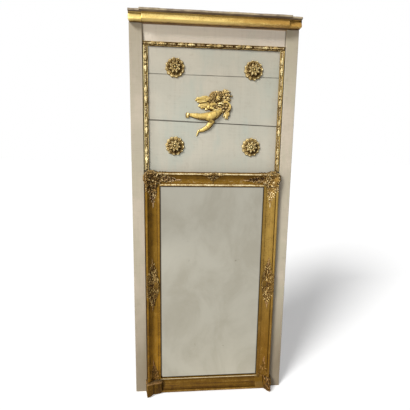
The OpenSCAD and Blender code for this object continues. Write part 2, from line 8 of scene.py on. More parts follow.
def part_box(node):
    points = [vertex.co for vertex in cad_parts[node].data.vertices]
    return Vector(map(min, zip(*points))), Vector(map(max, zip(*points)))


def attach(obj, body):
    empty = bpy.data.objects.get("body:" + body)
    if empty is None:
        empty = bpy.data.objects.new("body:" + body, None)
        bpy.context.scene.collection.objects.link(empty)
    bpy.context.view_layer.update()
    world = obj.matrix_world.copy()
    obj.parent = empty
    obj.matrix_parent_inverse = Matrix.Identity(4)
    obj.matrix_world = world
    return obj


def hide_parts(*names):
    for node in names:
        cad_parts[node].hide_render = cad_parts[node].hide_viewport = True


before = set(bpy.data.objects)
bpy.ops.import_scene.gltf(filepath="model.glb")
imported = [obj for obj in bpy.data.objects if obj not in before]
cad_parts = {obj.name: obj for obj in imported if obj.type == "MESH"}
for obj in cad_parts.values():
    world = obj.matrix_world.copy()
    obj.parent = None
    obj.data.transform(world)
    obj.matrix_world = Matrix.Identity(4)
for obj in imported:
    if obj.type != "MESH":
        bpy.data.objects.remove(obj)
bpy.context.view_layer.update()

bl_info = {
    "name": "Trumeau Mirror",
    "version": (1, 0, 0),
    "blender": (4, 5, 0),
    "location": "View3D > Sidebar > Trumeau",
    "description": "Carved, gilt and painted surfaces of a tall trumeau mirror",
    "category": "Object",
}

# ---------------------------------------------------------------- sizes, in millimetres
MM = 0.001


def box(node):
    """The corners of a node, in millimetres."""
    return [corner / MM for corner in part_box(node)]


BOARD_Y = box("upper_board")[0].y
STILE_RISE = BOARD_Y - box("left_stile")[0].y
FRAME_HALF = -box("frame_left_rail")[0].x
FRAME_LOW = box("frame_bottom_rail")[0].z
FRAME_HIGH = box("frame_top_rail")[1].z
RAIL_W = round(FRAME_HIGH - box("frame_top_rail")[0].z, 3)

# Section of the frame rails: heights over the boards against distance from the outer edge
EDGE_R = 7.0
EDGE_RISE = 33.0
QUIRK_RISE = 31.0
COVE_START = 18.0
COVE_CENTRE = (53.27, 52.9)
COVE_R = 40.0
COVE_END = 56.0
SIGHT_CENTRE = (63.0, 13.0)
SIGHT_R = 6.0
GLASS_RISE = 9.0

# Carving: how far the carved pieces are let into what carries them, how steep their sides are, and how
# far in front of Y 0 the lower corners may reach, just behind the front of the cornice
SINK = 2.5
STEEP = 3.2
FORWARD = 47.8
FAR_DOWN = -60.0

# Points on each stretch of a smooth line
LINE_STEPS = 7


def rail_rise(u):
    """Height of the frame over the boards, u millimetres in from its outer edge."""
    bead = EDGE_RISE + np.sqrt(np.clip(EDGE_R**2 - (u - EDGE_R) ** 2, 0, None))
    cove = COVE_CENTRE[1] - np.sqrt(np.clip(COVE_R**2 - (u - COVE_CENTRE[0]) ** 2, 0, None))
    sight = SIGHT_CENTRE[1] + np.sqrt(np.clip(SIGHT_R**2 - (u - SIGHT_CENTRE[0]) ** 2, 0, None))
    rise = np.where(u < 2 * EDGE_R, bead, QUIRK_RISE)
    rise = np.where(u > COVE_START, cove, rise)
    rise = np.where(u > COVE_END, sight, rise)
    rise = np.where(u > RAIL_W, GLASS_RISE, rise)
    return np.where(u < 0, STILE_RISE, rise)


def frame_ground(x, z):
    """What the frame ornaments sit on."""
    u = np.minimum(FRAME_HALF - np.abs(x), np.minimum(z - FRAME_LOW, FRAME_HIGH - z))
    return rail_rise(u)


def board_ground(x, z):
    """The boards are flat."""
    return np.zeros_like(x)


# ---------------------------------------------------------------- carving
def blur(h, times):
    for _ in range(times):
        p = np.pad(h, 1, mode="edge")
        h = (2 * h + p[:-2, 1:-1] + p[2:, 1:-1] + p[1:-1, :-2] + p[1:-1, 2:]) / 6
    return h


def soft_max(a, b, blend):
    if blend <= 0:
        return np.maximum(a, b)
    t = np.clip(0.5 + (a - b) / (2 * blend), 0, 1)
    return b + (a - b) * t + blend * t * (1 - t)


class Relief:
    """A carved surface over what carries it: heights over the boards on a grid of X and Z."""

    def __init__(self, low, high, step, ground):
        xs = np.arange(low[0], high[0] + step / 2, step)
        zs = np.arange(low[1], high[1] + step / 2, step)
        self.x, self.z = np.meshgrid(xs, zs, indexing="ij")
        self.low, self.step = low, step
        self.ground = ground(self.x, self.z)
        self.bed = blur(self.ground, round(40 / step**2))
        self.h = np.full(self.x.shape, FAR_DOWN)
        self.tone = np.zeros(self.x.shape)
        self.rub = np.zeros(self.x.shape)
        self.all = (slice(None), slice(None))
        self.ink(0.5)

    def ink(self, tone, rub=0.0):
        """Sets how bright the gilding of what is laid next is, from 0 to 1, and how far it is rubbed."""
        self.now = tone, rub

    def window(self, points, reach):
        p = np.asarray(points, float).reshape(-1, 2)
        lo = np.floor((p.min(0) - reach - self.low) / self.step).astype(int)
        hi = np.ceil((p.max(0) + reach - self.low) / self.step).astype(int) + 1
        lo, hi = np.maximum(lo, 0), np.maximum(hi, 0)
        return slice(lo[0], hi[0]), slice(lo[1], hi[1])

    def lay(self, win, shape, wall, blend=0.0):
        """Adds a form: shape is its height over the bed, wall how far inside its outline a point is."""
        foot = np.maximum(self.h[win], self.ground[win])
        h = np.minimum(self.bed[win] + shape, foot + STEEP * wall)
        over = h > self.h[win]
        self.tone[win] = np.where(over, self.now[0], self.tone[win])
        self.rub[win] = np.where(over, self.now[1], self.rub[win])
        self.h[win] = soft_max(self.h[win], h, blend)

    def over_bed(self, spot):
        """How far the surface stands over the bed at a place."""
        i, j = np.round((np.asarray(spot) - self.low) / self.step).astype(int)
        return self.h[i, j] - self.bed[i, j]

    def cut(self, win, depth, shade=0.0):
        """Takes material away, and darkens what is cut."""
        self.h[win] -= depth
        self.tone[win] -= shade * depth


def smooth_line(points):
    """A smooth line through the points."""
    p = np.asarray(points, float)
    if len(p) < 3:
        return p
    p = np.vstack([2 * p[0] - p[1], p, 2 * p[-1] - p[-2]])
    t = np.linspace(0, 1, LINE_STEPS, endpoint=False)[:, None]
    out = []
    for a, b, c, d in zip(p[:-3], p[1:-2], p[2:-1], p[3:]):
        out.append(0.5 * (2 * b + (c - a) * t + (2 * a - 5 * b + 4 * c - d) * t**2
                          + (3 * b - a - 3 * c + d) * t**3))
    return np.vstack(out + [p[-2:-1]])


def along(x, z, line):
    """How far along the line each point is, from 0 to 1, and its distance from it."""
    best = np.full(x.shape, np.inf)
    s = np.zeros(x.shape)
    steps = np.diff(line, axis=0)
    lengths = np.hypot(*steps.T)
    start = 0.0
    for (ax, az), (dx, dz), length in zip(line[:-1], steps, lengths):
        t = np.clip(((x - ax) * dx + (z - az) * dz) / length**2, 0, 1)
        dist = np.hypot(x - ax - t * dx, z - az - t * dz)
        near = dist < best
        best = np.where(near, dist, best)
        s = np.where(near, start + t * length, s)
        start += length
    return s / start, best


def leaf(r, points, width, rise, base, lobes, cut, vein):
    """A leaf along a line from root to tip, with lobes, ribs and a vein."""
    line = smooth_line(points)
    win = r.window(line, width + 3)
    s, d = along(r.x[win], r.z[win], line)
    notch = 0.5 + 0.5 * np.cos(2 * np.pi * (lobes * s - 0.5 + 0.4 * d / width)) if lobes else 0 * s
    outline = width * np.sin(np.pi * (0.12 + 0.88 * s)) ** 0.7 * (1 - cut * notch)
    across = np.clip(d / np.maximum(outline, 0.3), 0, 1.4)
    swell = 0.5 + 0.5 * np.sin(np.pi * np.minimum(1, 1.1 * s))
    shape = base + rise * swell * (1 - 0.45 * across**2) - 0.4 * rise * notch * across
    shape = shape - vein * np.exp(-((d / 0.9) ** 2)) * (1 - s)
    r.lay(win, shape, outline - d)


def rod(r, points, radii, heights, blend=0.0, flat=1.0):
    """A round tapering bar along a line."""
    line = smooth_line(points)
    radii, heights = np.atleast_1d(radii), np.atleast_1d(heights)
    win = r.window(line, radii.max() + 3)
    s, d = along(r.x[win], r.z[win], line)
    radius = np.interp(s, np.linspace(0, 1, len(radii)), radii)
    height = np.interp(s, np.linspace(0, 1, len(heights)), heights)
    shape = height + flat * np.sqrt(np.clip(radius**2 - d**2, 0, None))
    r.lay(win, shape, radius - d, blend)


def groove(r, points, width, depth, shade=0.12):
    """Cuts a shallow dark groove along a line."""
    line = smooth_line(points)
    win = r.window(line, 3 * width)
    s, d = along(r.x[win], r.z[win], line)
    ends = np.clip(6 * np.minimum(s, 1 - s) + 0.2, 0, 1)
    r.cut(win, depth * np.exp(-((d / width) ** 2)) * ends, shade)


def pit(r, centre, radius, depth):
    """Drills a dark hole."""
    win = r.window([centre], 2.5 * radius)
    d = np.hypot(r.x[win] - centre[0], r.z[win] - centre[1])
    r.cut(win, depth * np.exp(-((d / radius) ** 4)), 0.2)


def dome(r, centre, rx, rz, rise, base, turn=0.0, blend=0.0):
    """A smooth oval mound."""
    win = r.window([centre], max(rx, rz) + 3)
    x, z = r.x[win] - centre[0], r.z[win] - centre[1]
    c, s = math.cos(turn), math.sin(turn)
    q = np.hypot((c * x + s * z) / rx, (c * z - s * x) / rz)
    shape = base + rise * np.sqrt(np.clip(1 - q**2, 0, None))
    r.lay(win, shape, (1 - q) * min(rx, rz), blend)


def volute(r, centre, radius, start, way, width, rise, base, turns=1.3):
    """A scroll that winds in to a round eye."""
    t = np.linspace(0, 1, 26)
    a = start + way * 2 * math.pi * turns * t
    reach = radius * (1 - 0.8 * t)
    line = np.c_[centre[0] + reach * np.cos(a), centre[1] + reach * np.sin(a)]
    win = r.window(line, width + 3)
    s, d = along(r.x[win], r.z[win], line)
    w = width * (1 - 0.35 * s)
    shape = base + rise * (0.6 + 0.5 * s) * np.sqrt(np.clip(1 - (d / w) ** 2, 0, None))
    r.lay(win, shape, w - d)
    dome(r, centre, 0.3 * radius, 0.3 * radius, 1.2 * rise, base)


def fan(r, centre, aim, spread, inner, outer, flutes, rise, base):
    """A fluted shell that opens from its centre towards the angle aim."""
    win = r.window([centre], outer + 3)
    x, z = r.x[win] - centre[0], r.z[win] - centre[1]
    dist = np.hypot(x, z)
    angle = (np.arctan2(z, x) - aim + np.pi) % (2 * np.pi) - np.pi
    t = angle / spread
    ridge = 0.5 - 0.5 * np.cos(2 * np.pi * flutes * (np.clip(t, -1, 1) + 1) / 2)
    edge = outer * (0.86 + 0.14 * ridge) * (1 - 0.1 * t**2)
    out = np.clip((dist - inner) / (edge - inner), 0, 1)
    shape = base + rise * (0.4 + 0.6 * np.sin(np.pi * 0.62 * out)) * (0.35 + 0.65 * ridge)
    wall = np.minimum(np.minimum(edge - dist, dist - inner), (1 - np.abs(t)) * spread * dist)
    r.lay(win, shape, wall)


def flower(r, centre, radius, petals, rise, base, turn):
    """An open flower with a round heart."""
    win = r.window([centre], radius + 3)
    x, z = r.x[win] - centre[0], r.z[win] - centre[1]
    dist = np.hypot(x, z)
    t = (petals * (np.arctan2(z, x) - turn) / (2 * np.pi)) % 1 - 0.5
    edge = radius * (0.62 + 0.38 * np.sqrt(np.clip(1 - (2 * t) ** 2, 0, 1)))
    q = dist / edge
    shape = base + rise * (0.25 + 0.75 * np.sin(np.pi * np.clip(q, 0, 1) * 0.75)) * (1 - 1.6 * t**2)
    shape = shape - 0.25 * rise * np.exp(-((t / 0.07) ** 2)) * q
    r.lay(win, shape, edge - dist)
    dome(r, centre, 0.26 * radius, 0.26 * radius, 0.8 * rise, base + 0.1 * rise)


def foliage(r, place, start, end, halves, middles, rng, size, rise, tone, contrast=1.0, bare=1.0):
    """Small curled leaves packed close on both sides of an arm that runs along a.

    contrast is how far their tones differ, bare how far they are rubbed.
    """
    a = start
    while a < end:
        t = (a - start) / (end - start)
        half = np.interp(t, np.linspace(0, 1, len(halves)), halves)
        middle = np.interp(t, np.linspace(0, 1, len(middles)), middles)
        count = max(1, round(2 * half / (0.66 * size)))
        for i in range(count):
            off = ((i + 0.5) / count * 2 - 1) * half * 0.85 + rng.uniform(-1, 1)
            angle = 1.15 * off / max(half, 1) + rng.uniform(-0.45, 0.45)
            reach = size * rng.uniform(0.75, 1.2) * (1 - 0.3 * t)
            root = np.array((a + rng.uniform(-1.5, 1.5), middle + off))
            way = np.array((math.cos(angle), math.sin(angle)))
            bow = np.array((-way[1], way[0])) * rng.uniform(-0.3, 0.3) * reach
            r.ink(tone + contrast * rng.uniform(-0.25, 0.5),
                  bare * (max(0.0, rng.uniform(-0.8, 0.5)) + 0.35 * t))
            spots = [place(*(root + way * reach * k + bow * math.sin(math.pi * k))) for k in (0, 0.5, 1)]
            leaf(r, spots, 0.27 * reach, rise * rng.uniform(0.6, 1.2), 1.6, 0, 0, 1.2)
            if rng.random() < 0.45:
                dome(r, spots[2], 0.16 * size, 0.16 * size, rise, 1.5)
        a += 0.68 * size


def carved(node, r, material, shade=0.6, lower_right_shade=0.2):
    """Makes the mesh of a relief: its carved face, sides and flat back, closed all round.

    shade is how much painted shade darkens the gilding low down, where each form meets its ground; the last
    argument, how much painted shade darkens the lower right of each form, as if lit from the upper left.
    """
    inside = r.h > r.ground + 0.05
    cell = inside[:-1, :-1] | inside[1:, :-1] | inside[:-1, 1:] | inside[1:, 1:]
    for _ in range(3):
        a, b, c, d = cell[:-1, :-1], cell[1:, :-1], cell[:-1, 1:], cell[1:, 1:]
        lone = (a & d & ~b & ~c) | (b & c & ~a & ~d)
        cell[:-1, :-1] |= lone
        cell[1:, 1:] |= lone
        cell[1:, :-1] |= lone
        cell[:-1, 1:] |= lone
    used = np.zeros(r.x.shape, bool)
    for dx in (0, 1):
        for dz in (0, 1):
            used[dx:dx + cell.shape[0], dz:dz + cell.shape[1]] |= cell
    index = np.full(r.x.shape, -1)
    count = int(used.sum())
    index[used] = np.arange(count)
    back = r.ground - SINK
    top = np.maximum(r.h, back + 0.5)
    verts = np.empty((2 * count, 3))
    verts[:, 0] = np.tile(r.x[used], 2)
    verts[:, 2] = np.tile(r.z[used], 2)
    verts[:count, 1] = BOARD_Y - top[used]
    verts[count:, 1] = BOARD_Y - back[used]
    i, j = np.nonzero(cell)
    quad = np.c_[index[i, j], index[i + 1, j], index[i + 1, j + 1], index[i, j + 1]]
    faces = [quad, quad[:, ::-1] + count]
    open_cell = np.pad(cell, 1)
    sides = (((-1, 0), 3, 0), ((1, 0), 1, 2), ((0, -1), 0, 1), ((0, 1), 2, 3))
    for (di, dj), a, b in sides:
        edge = ~open_cell[i + 1 + di, j + 1 + dj]
        p, q = quad[edge, a], quad[edge, b]
        faces.append(np.c_[q, p, p + count, q + count])
    fine = blur(top, 1)
    lift = (fine - blur(top, round(9 / r.step**2))) / 2.0
    # Painted shade low down, where each form meets its ground
    foot = np.clip(1 - (fine - r.ground) / 5, 0, 1)
    # Painted shade on the lower right of each form, on the slopes that turn away from a light at the upper
    # left
    right, up = np.gradient(fine, r.step)
    away = np.clip(lower_right_shade * (up - 0.6 * right), 0, 2 * lower_right_shade)
    tone = np.clip(r.tone + np.clip(0.5 * lift, -0.7, 0.45) - shade * foot - away, 0, 1)
    masks = {"tone": np.tile(tone[used], 2), "rub": np.tile(r.rub[used], 2)}
    closed_mesh(node, verts, np.vstack(faces).tolist(), material, masks)


def closed_mesh(node, verts, faces, material, masks=None):
    """Makes an object of points in millimetres that takes the place of a CAD node."""
    mesh = bpy.data.meshes.new(node)
    mesh.from_pydata((np.asarray(verts) * MM).tolist(), [], faces)
    mesh.shade_smooth()
    for key, value in (masks or {}).items():
        mesh.attributes.new(key, "FLOAT", "POINT").data.foreach_set("value", value.astype(np.float32))
    obj = bpy.data.objects.new(node, mesh)
    bpy.context.scene.collection.objects.link(obj)
    mesh.materials.append(material)
    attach(obj, "root")
    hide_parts(node)
    return obj


# ---------------------------------------------------------------- shader building
def srgb(red, green, blue):
    """A colour given in 0 to 255 as the eye sees it, as the shaders want it."""
    return tuple(
        v / 12.92 if v <= 0.04045 else ((v + 0.055) / 1.055) ** 2.4
        for v in (c / 255 for c in (red, green, blue))
    ) + (1.0,)


class Tree:
    """Short ways to put nodes into a shader tree."""

    def __init__(self, tree):
        self.tree = tree

    def node(self, kind, inputs=(), **settings):
        n = self.tree.nodes.new(kind)
        for key, value in settings.items():
            setattr(n, key, value)
        for key, value in dict(inputs).items():
            self.feed(n.inputs[key], value)
        return n

    def feed(self, socket, value):
        if isinstance(value, bpy.types.NodeSocket):
            self.tree.links.new(value, socket)
        else:
            socket.default_value = value

    def math(self, operation, a, b=0.0, clamp=False):
        n = self.node("ShaderNodeMath", {0: a, 1: b}, operation=operation, use_clamp=clamp)
        return n.outputs[0]

    def most(self, *values):
        result = values[0]
        for value in values[1:]:
            result = self.math("MAXIMUM", result, value)
        return result

    def span(self, value, low, high, to_low=0.0, to_high=1.0):
        """Maps low..high to to_low..to_high with smooth ends."""
        n = self.node("ShaderNodeMapRange", {"Value": value, "From Min": low, "From Max": high,
                                             "To Min": to_low, "To Max": to_high},
                      interpolation_type="SMOOTHSTEP")
        return n.outputs[0]

    def band(self, value, start, full, fade, end, top=1.0):
        """Rises from start to full and falls from fade to end."""
        return self.math("MULTIPLY", self.span(value, start, full, 0, top), self.span(value, fade, end, 1, 0))

    def mix(self, share, a, b):
        n = self.node("ShaderNodeMix", data_type="RGBA")
        self.feed(n.inputs[0], share)
        self.feed(n.inputs[6], a)
        self.feed(n.inputs[7], b)
        return n.outputs[2]

    def noise(self, vector, scale, detail=4.0, rough=0.55, bend=0.0):
        n = self.node("ShaderNodeTexNoise", {"Vector": vector, "Scale": scale, "Detail": detail,
                                             "Roughness": rough, "Distortion": bend})
        return n.outputs["Fac"]

    def stretched(self, vector, scale):
        n = self.node("ShaderNodeMapping", {"Vector": vector, "Scale": scale})
        return n.outputs[0]

    def place(self):
        return self.node("ShaderNodeTexCoord").outputs["Object"]

    def xyz(self, vector=None):
        return self.node("ShaderNodeSeparateXYZ", {0: vector or self.place()}).outputs

    def facing(self):
        return self.xyz(self.node("ShaderNodeNewGeometry").outputs["Normal"])


def new_group(name, inputs, outputs):
    """An empty shader node group with named sockets, and its tree, input and output nodes."""
    group = bpy.data.node_groups.new(name, "ShaderNodeTree")
    kinds = {"colour": "NodeSocketColor", "value": "NodeSocketFloat", "vector": "NodeSocketVector"}
    for direction, sockets in (("INPUT", inputs), ("OUTPUT", outputs)):
        for label, kind in sockets:
            group.interface.new_socket(name=label, in_out=direction, socket_type=kinds[kind])
    t = Tree(group)
    source = t.node("NodeGroupInput")
    sink = t.node("NodeGroupOutput")
    return group, t, source.outputs, sink.inputs


def wood_grain_group():
    """Streaks, knots and pores of bare boards whose grain runs along the squeezed axis."""
    group, t, given, out = new_group(
        "Wood Grain",
        [("Vector", "vector"), ("Light", "colour"), ("Dark", "colour")],
        [("Color", "colour"), ("Roughness", "value"), ("Height", "value")],
    )
    rings = t.noise(given["Vector"], 9.0, 3.0, 0.5, 0.8)
    bands = t.math("FRACT", t.math("MULTIPLY", rings, 9.0))
    fibre = t.noise(given["Vector"], 120.0, 3.0, 0.7)
    cloud = t.noise(t.place(), 5.0, 3.0, 0.6)
    share = t.math("ADD", t.math("MULTIPLY", bands, 0.45), t.math("MULTIPLY", fibre, 0.55))
    colour = t.mix(t.span(share, 0.25, 0.8), given["Light"], given["Dark"])
    t.feed(out["Color"], t.mix(t.span(cloud, 0.5, 0.8, 0, 0.35), colour, srgb(70, 55, 40)))
    t.feed(out["Roughness"], t.span(fibre, 0.2, 0.8, 0.65, 0.9))
    t.feed(out["Height"], t.math("ADD", fibre, t.math("MULTIPLY", bands, 0.3)))
    return group


def old_paint_group():
    """Old hand-laid paint: clouds, faint brush marks, fine stains and rubbed spots, darkened towards the dirt
    colour by the grime and painted shade that the caller gives.
    """
    group, t, given, out = new_group(
        "Old Paint",
        [("Paint", "colour"), ("Warm", "colour"), ("Cool", "colour"), ("Dirt and Shade", "colour"),
         ("Grime and Shade", "value")],
        [("Color", "colour"), ("Roughness", "value"), ("Height", "value")],
    )
    place = t.place()
    cloud = t.noise(place, 4.2, 4.0, 0.55, 0.4)
    drift = t.noise(t.stretched(place, (1, 1, 0.4)), 8.0, 4.0, 0.6, 0.3)
    upright = t.noise(t.stretched(place, (1, 1, 0.04)), 150.0, 3.0, 0.6)
    level = t.noise(t.stretched(place, (0.05, 1, 1)), 170.0, 3.0, 0.6)
    speck = t.noise(place, 260.0, 2.0, 0.7)
    stain = t.noise(place, 26.0, 5.0, 0.65, 0.5)
    colour = t.mix(t.span(cloud, 0.4, 0.62), given["Paint"], given["Warm"])
    colour = t.mix(t.span(drift, 0.44, 0.64, 0, 0.85), colour, given["Cool"])
    brush = t.math("ADD", t.math("MULTIPLY", upright, 0.5), t.math("MULTIPLY", level, 0.5))
    colour = t.mix(t.span(brush, 0.5, 0.72, 0, 0.2), colour, given["Dirt and Shade"])
    colour = t.mix(t.span(speck, 0.66, 0.8, 0, 0.45), colour, given["Dirt and Shade"])
    colour = t.mix(t.span(stain, 0.56, 0.78, 0, 0.25), colour, given["Dirt and Shade"])
    # Darkening towards the dirt colour by the grime input, which carries grime and the painted shade that
    # callers give
    grime_and_shade = t.math("MULTIPLY", given["Grime and Shade"], t.span(drift, 0.2, 0.7, 0.7, 1.0))
    t.feed(out["Color"], t.mix(grime_and_shade, colour, given["Dirt and Shade"]))
    t.feed(out["Roughness"], t.span(brush, 0.3, 0.7, 0.5, 0.72))
    t.feed(out["Height"], t.math("ADD", brush, t.math("MULTIPLY", speck, 0.5)))
    return group


def aged_gilding_group():
    """Gold leaf from brown hollows to burnished lights, rubbed through to the pink ground in spots."""
    group, t, given, out = new_group(
        "Aged Gilding",
        [("Bright", "colour"), ("Gold", "colour"), ("Dark", "colour"), ("Rubbed", "colour"),
         ("Tone", "value"), ("Rub", "value")],
        [("Color", "colour"), ("Metallic", "value"), ("Roughness", "value"), ("Height", "value")],
    )
    place = t.place()
    cloud = t.noise(place, 16.0, 4.0, 0.6, 0.5)
    fine = t.noise(place, 170.0, 3.0, 0.65)
    scratch = t.noise(t.stretched(place, (0.25, 1, 0.25)), 420.0, 2.0, 0.7)
    tone = t.math("ADD", given["Tone"], t.span(cloud, 0.3, 0.7, -0.1, 0.1))
    tone = t.math("ADD", tone, t.span(fine, 0.25, 0.75, -0.14, 0.14), clamp=True)
    colour = t.mix(t.span(tone, 0.0, 0.52), given["Dark"], given["Gold"])
    colour = t.mix(t.span(tone, 0.5, 1.0), colour, given["Bright"])
    rub = t.math("MULTIPLY", given["Rub"], t.span(fine, 0.35, 0.6, 0.1, 0.8))
    rub = t.math("MULTIPLY", rub, t.span(tone, 0.2, 0.5))
    colour = t.mix(rub, colour, given["Rubbed"])
    colour = t.mix(t.span(scratch, 0.66, 0.8, 0, 0.25), colour, given["Dark"])
    t.feed(out["Color"], colour)
    metal = t.math("MULTIPLY", t.span(tone, 0.1, 0.9, 0.1, 0.45), t.span(rub, 0.2, 0.8, 1, 0.3))
    t.feed(out["Metallic"], metal)
    rough = t.math("ADD", t.span(tone, 0.1, 0.9, 0.6, 0.36), t.span(fine, 0.3, 0.7, -0.05, 0.05))
    t.feed(out["Roughness"], rough)
    t.feed(out["Height"], t.math("ADD", t.math("MULTIPLY", fine, 0.7), t.math("MULTIPLY", scratch, 0.3)))
    return group


def dust_group():
    """Grey dust on what faces up."""
    group, t, given, out = new_group(
        "Settled Dust",
        [("Color", "colour"), ("Dust", "colour"), ("Amount", "value")],
        [("Color", "colour")],
    )
    patch = t.noise(t.place(), 60.0, 4.0, 0.65)
    share = t.math("MULTIPLY", t.span(t.facing()["Z"], 0.35, 0.95), t.span(patch, 0.3, 0.7, 0.45, 1.0))
    t.feed(out["Color"], t.mix(t.math("MULTIPLY", share, given["Amount"]), given["Color"], given["Dust"]))
    return group


def effect(name):
    """A shared node group, made the first time that it is asked for."""
    makers = {"Wood Grain": wood_grain_group, "Old Paint": old_paint_group,
              "Aged Gilding": aged_gilding_group, "Settled Dust": dust_group}
    return bpy.data.node_groups.get(name) or makers[name]()


def new_material(name):
    """A material with its Principled shader, and a Tree over its nodes."""
    material = bpy.data.materials.new(name)
    material.use_nodes = True
    shader = material.node_tree.nodes["Principled BSDF"]
    return material, Tree(material.node_tree), shader


def grouped(t, name, inputs):
    n = t.node("ShaderNodeGroup", node_tree=effect(name))
    for key, value in inputs.items():
        t.feed(n.inputs[key], value)
    return n.outputs


def bump(t, shader, height, distance, strength=0.6):
    n = t.node("ShaderNodeBump", {"Height": height, "Distance": distance, "Strength": strength})
    t.feed(shader.inputs["Normal"], n.outputs[0])


def opaque(colour):
    return tuple(colour) + (1.0,)


def wood_parts(t, scale):
    f = finishes()
    place = t.stretched(t.place(), scale)
    return grouped(t, "Wood Grain", {"Vector": place, "Light": opaque(f.wood_light),
                                     "Dark": opaque(f.wood_dark)})


def bare_wood(name, scale):
    material, t, shader = new_material(name)
    wood = wood_parts(t, scale)
    dusty = grouped(t, "Settled Dust", {"Color": wood["Color"], "Dust": srgb(150, 140, 125), "Amount": 0.8})
    t.feed(shader.inputs["Base Color"], dusty["Color"])
    t.feed(shader.inputs["Roughness"], wood["Roughness"])
    bump(t, shader, wood["Height"], 0.0006)
    return material


def painted_wood(name, paint, warm, cool, dirt_and_shade, grain, grime_and_shade, seams=None):
    """Paint on what faces forwards and sideways, bare wood on what faces back."""
    material, t, shader = new_material(name)
    painted = grouped(t, "Old Paint", {"Paint": paint, "Warm": warm, "Cool": cool, "Dirt and Shade": dirt_and_shade,
                                       "Grime and Shade": grime_and_shade(t)})
    wood = wood_parts(t, grain)
    back = t.span(t.facing()["Y"], 0.6, 0.8)
    front = t.mix(seams(t), painted["Color"], srgb(66, 58, 46)) if seams else painted["Color"]
    colour = t.mix(back, front, wood["Color"])
    dusty = grouped(t, "Settled Dust", {"Color": colour, "Dust": srgb(150, 142, 128), "Amount": 0.7})
    t.feed(shader.inputs["Base Color"], dusty["Color"])
    t.feed(shader.inputs["Roughness"], painted["Roughness"])
    bump(t, shader, painted["Height"], 0.0004)
    return material


def gilt(name, bright, gold, dark, rubbed, masks=None, dust=0.16):
    """Old gilding. masks takes the tree and gives its tone and rub; without it the carving does.

    bright and gold are colours, or take the tree and give one that changes over the piece.
    """
    if name in bpy.data.materials:
        return bpy.data.materials[name]
    material, t, shader = new_material(name)
    if masks:
        tone, rub = masks(t)
    else:
        tone, rub = [t.node("ShaderNodeAttribute", attribute_name=key).outputs["Fac"]
                     for key in ("tone", "rub")]
    bright, gold = [colour(t) if callable(colour) else colour for colour in (bright, gold)]
    old = grouped(t, "Aged Gilding", {"Bright": bright, "Gold": gold, "Dark": dark, "Rubbed": rubbed,
                                      "Tone": tone, "Rub": rub})
    dusty = grouped(t, "Settled Dust", {"Color": old["Color"], "Dust": srgb(186, 168, 128), "Amount": dust})
    t.feed(shader.inputs["Base Color"], dusty["Color"])
    t.feed(shader.inputs["Metallic"], old["Metallic"])
    t.feed(shader.inputs["Roughness"], old["Roughness"])
    shader.inputs["Specular IOR Level"].default_value = 0.12
    bump(t, shader, old["Height"], 0.0004, 0.5)
    return material


def dress(nodes, material):
    """Gives CAD nodes their finish."""
    for name in nodes:
        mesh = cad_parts[name].data
        mesh.materials.clear()
        mesh.materials.append(material)


# ---------------------------------------------------------------- what a user may change
class CarvingSizes(bpy.types.PropertyGroup):
    step: bpy.props.FloatProperty(
        name="Carving Step", description="Distance between the points of a carved surface",
        default=0.001, min=0.0006, max=0.004, unit="LENGTH", precision=4)
    leaf_pitch: bpy.props.FloatProperty(
        name="Border Pitch", description="Distance between the pairs of leaves of the carved border",
        default=0.128, min=0.09, max=0.16, unit="LENGTH")
    outer_petals: bpy.props.IntProperty(
        name="Outer Petals", description="Petals round the rim of a rosette", default=12, min=8, max=16)
    inner_petals: bpy.props.IntProperty(
        name="Inner Petals", description="Petals round the button of a rosette", default=8, min=5, max=10)
    hand_seed: bpy.props.IntProperty(
        name="Hand Seed", description="Changes the small differences between the leaves", default=7)


def finish(name, description, *colour):
    """A colour that a user may change, given in 0 to 255."""
    return bpy.props.FloatVectorProperty(
        name=name, description=description, subtype="COLOR", default=srgb(*colour)[:3], min=0, max=1)


class Finishes(bpy.types.PropertyGroup):
    stile_paint: finish("Stile Paint", "Cream paint of the stiles", 181, 171, 150)
    panel_paint: finish("Panel Paint", "Grey-green paint of the boards", 182, 178, 162)
    burnished: finish("Burnished Gold", "Gilding where it is brightest", 248, 230, 168)
    carved_gold: finish("Carved Gold", "Gilding of the carved pieces", 202, 172, 96)
    frame_gold: finish("Frame Gold", "Darkened gilding of the mirror frame", 130, 95, 26)
    patina: finish("Patina", "Brown of the hollows", 88, 64, 34)
    bole: finish("Pink Ground", "Ground that shows where the gilding is rubbed", 186, 150, 122)
    wood_light: finish("Light Wood", "Pale grain of the bare wood", 168, 138, 100)
    wood_dark: finish("Dark Wood", "Dark grain of the bare wood", 112, 84, 56)
    glass: finish("Mirror", "Colour of the old silvering", 176, 172, 158)


class Studio(bpy.types.PropertyGroup):
    key: bpy.props.FloatProperty(
        name="Key Light", description="Strength of the key light", default=3.2, min=0, max=10)
    key_turn: bpy.props.FloatProperty(
        name="Key Turn", description="How far to the left the key light stands", subtype="ANGLE",
        default=math.radians(43))
    key_height: bpy.props.FloatProperty(
        name="Key Height", description="Angle of the key light over the floor", subtype="ANGLE",
        default=math.radians(32))
    key_softness: bpy.props.FloatProperty(
        name="Key Softness", description="Angle that the key light fills in the sky", subtype="ANGLE",
        default=math.radians(20))
    window: bpy.props.FloatProperty(
        name="Window Light", description="Power of the wide lamp in front", default=17.5, min=0, max=500)
    fill: bpy.props.FloatProperty(
        name="Fill Light", description="Strength of the light from all round", default=0.05, min=0, max=2)


def sizes():
    return bpy.context.scene.trumeau_sizes


def finishes():
    return bpy.context.scene.trumeau_finishes


def studio():
    return bpy.context.scene.trumeau_studio


def hand(n):
    """Small differences between hand-made things, the same each run."""
    return np.random.default_rng(sizes().hand_seed + n)


def carved_gilding():
    f = finishes()
    return gilt("Carved gilding", opaque(f.burnished), opaque(f.carved_gold), opaque(f.patina),
                opaque(f.bole))


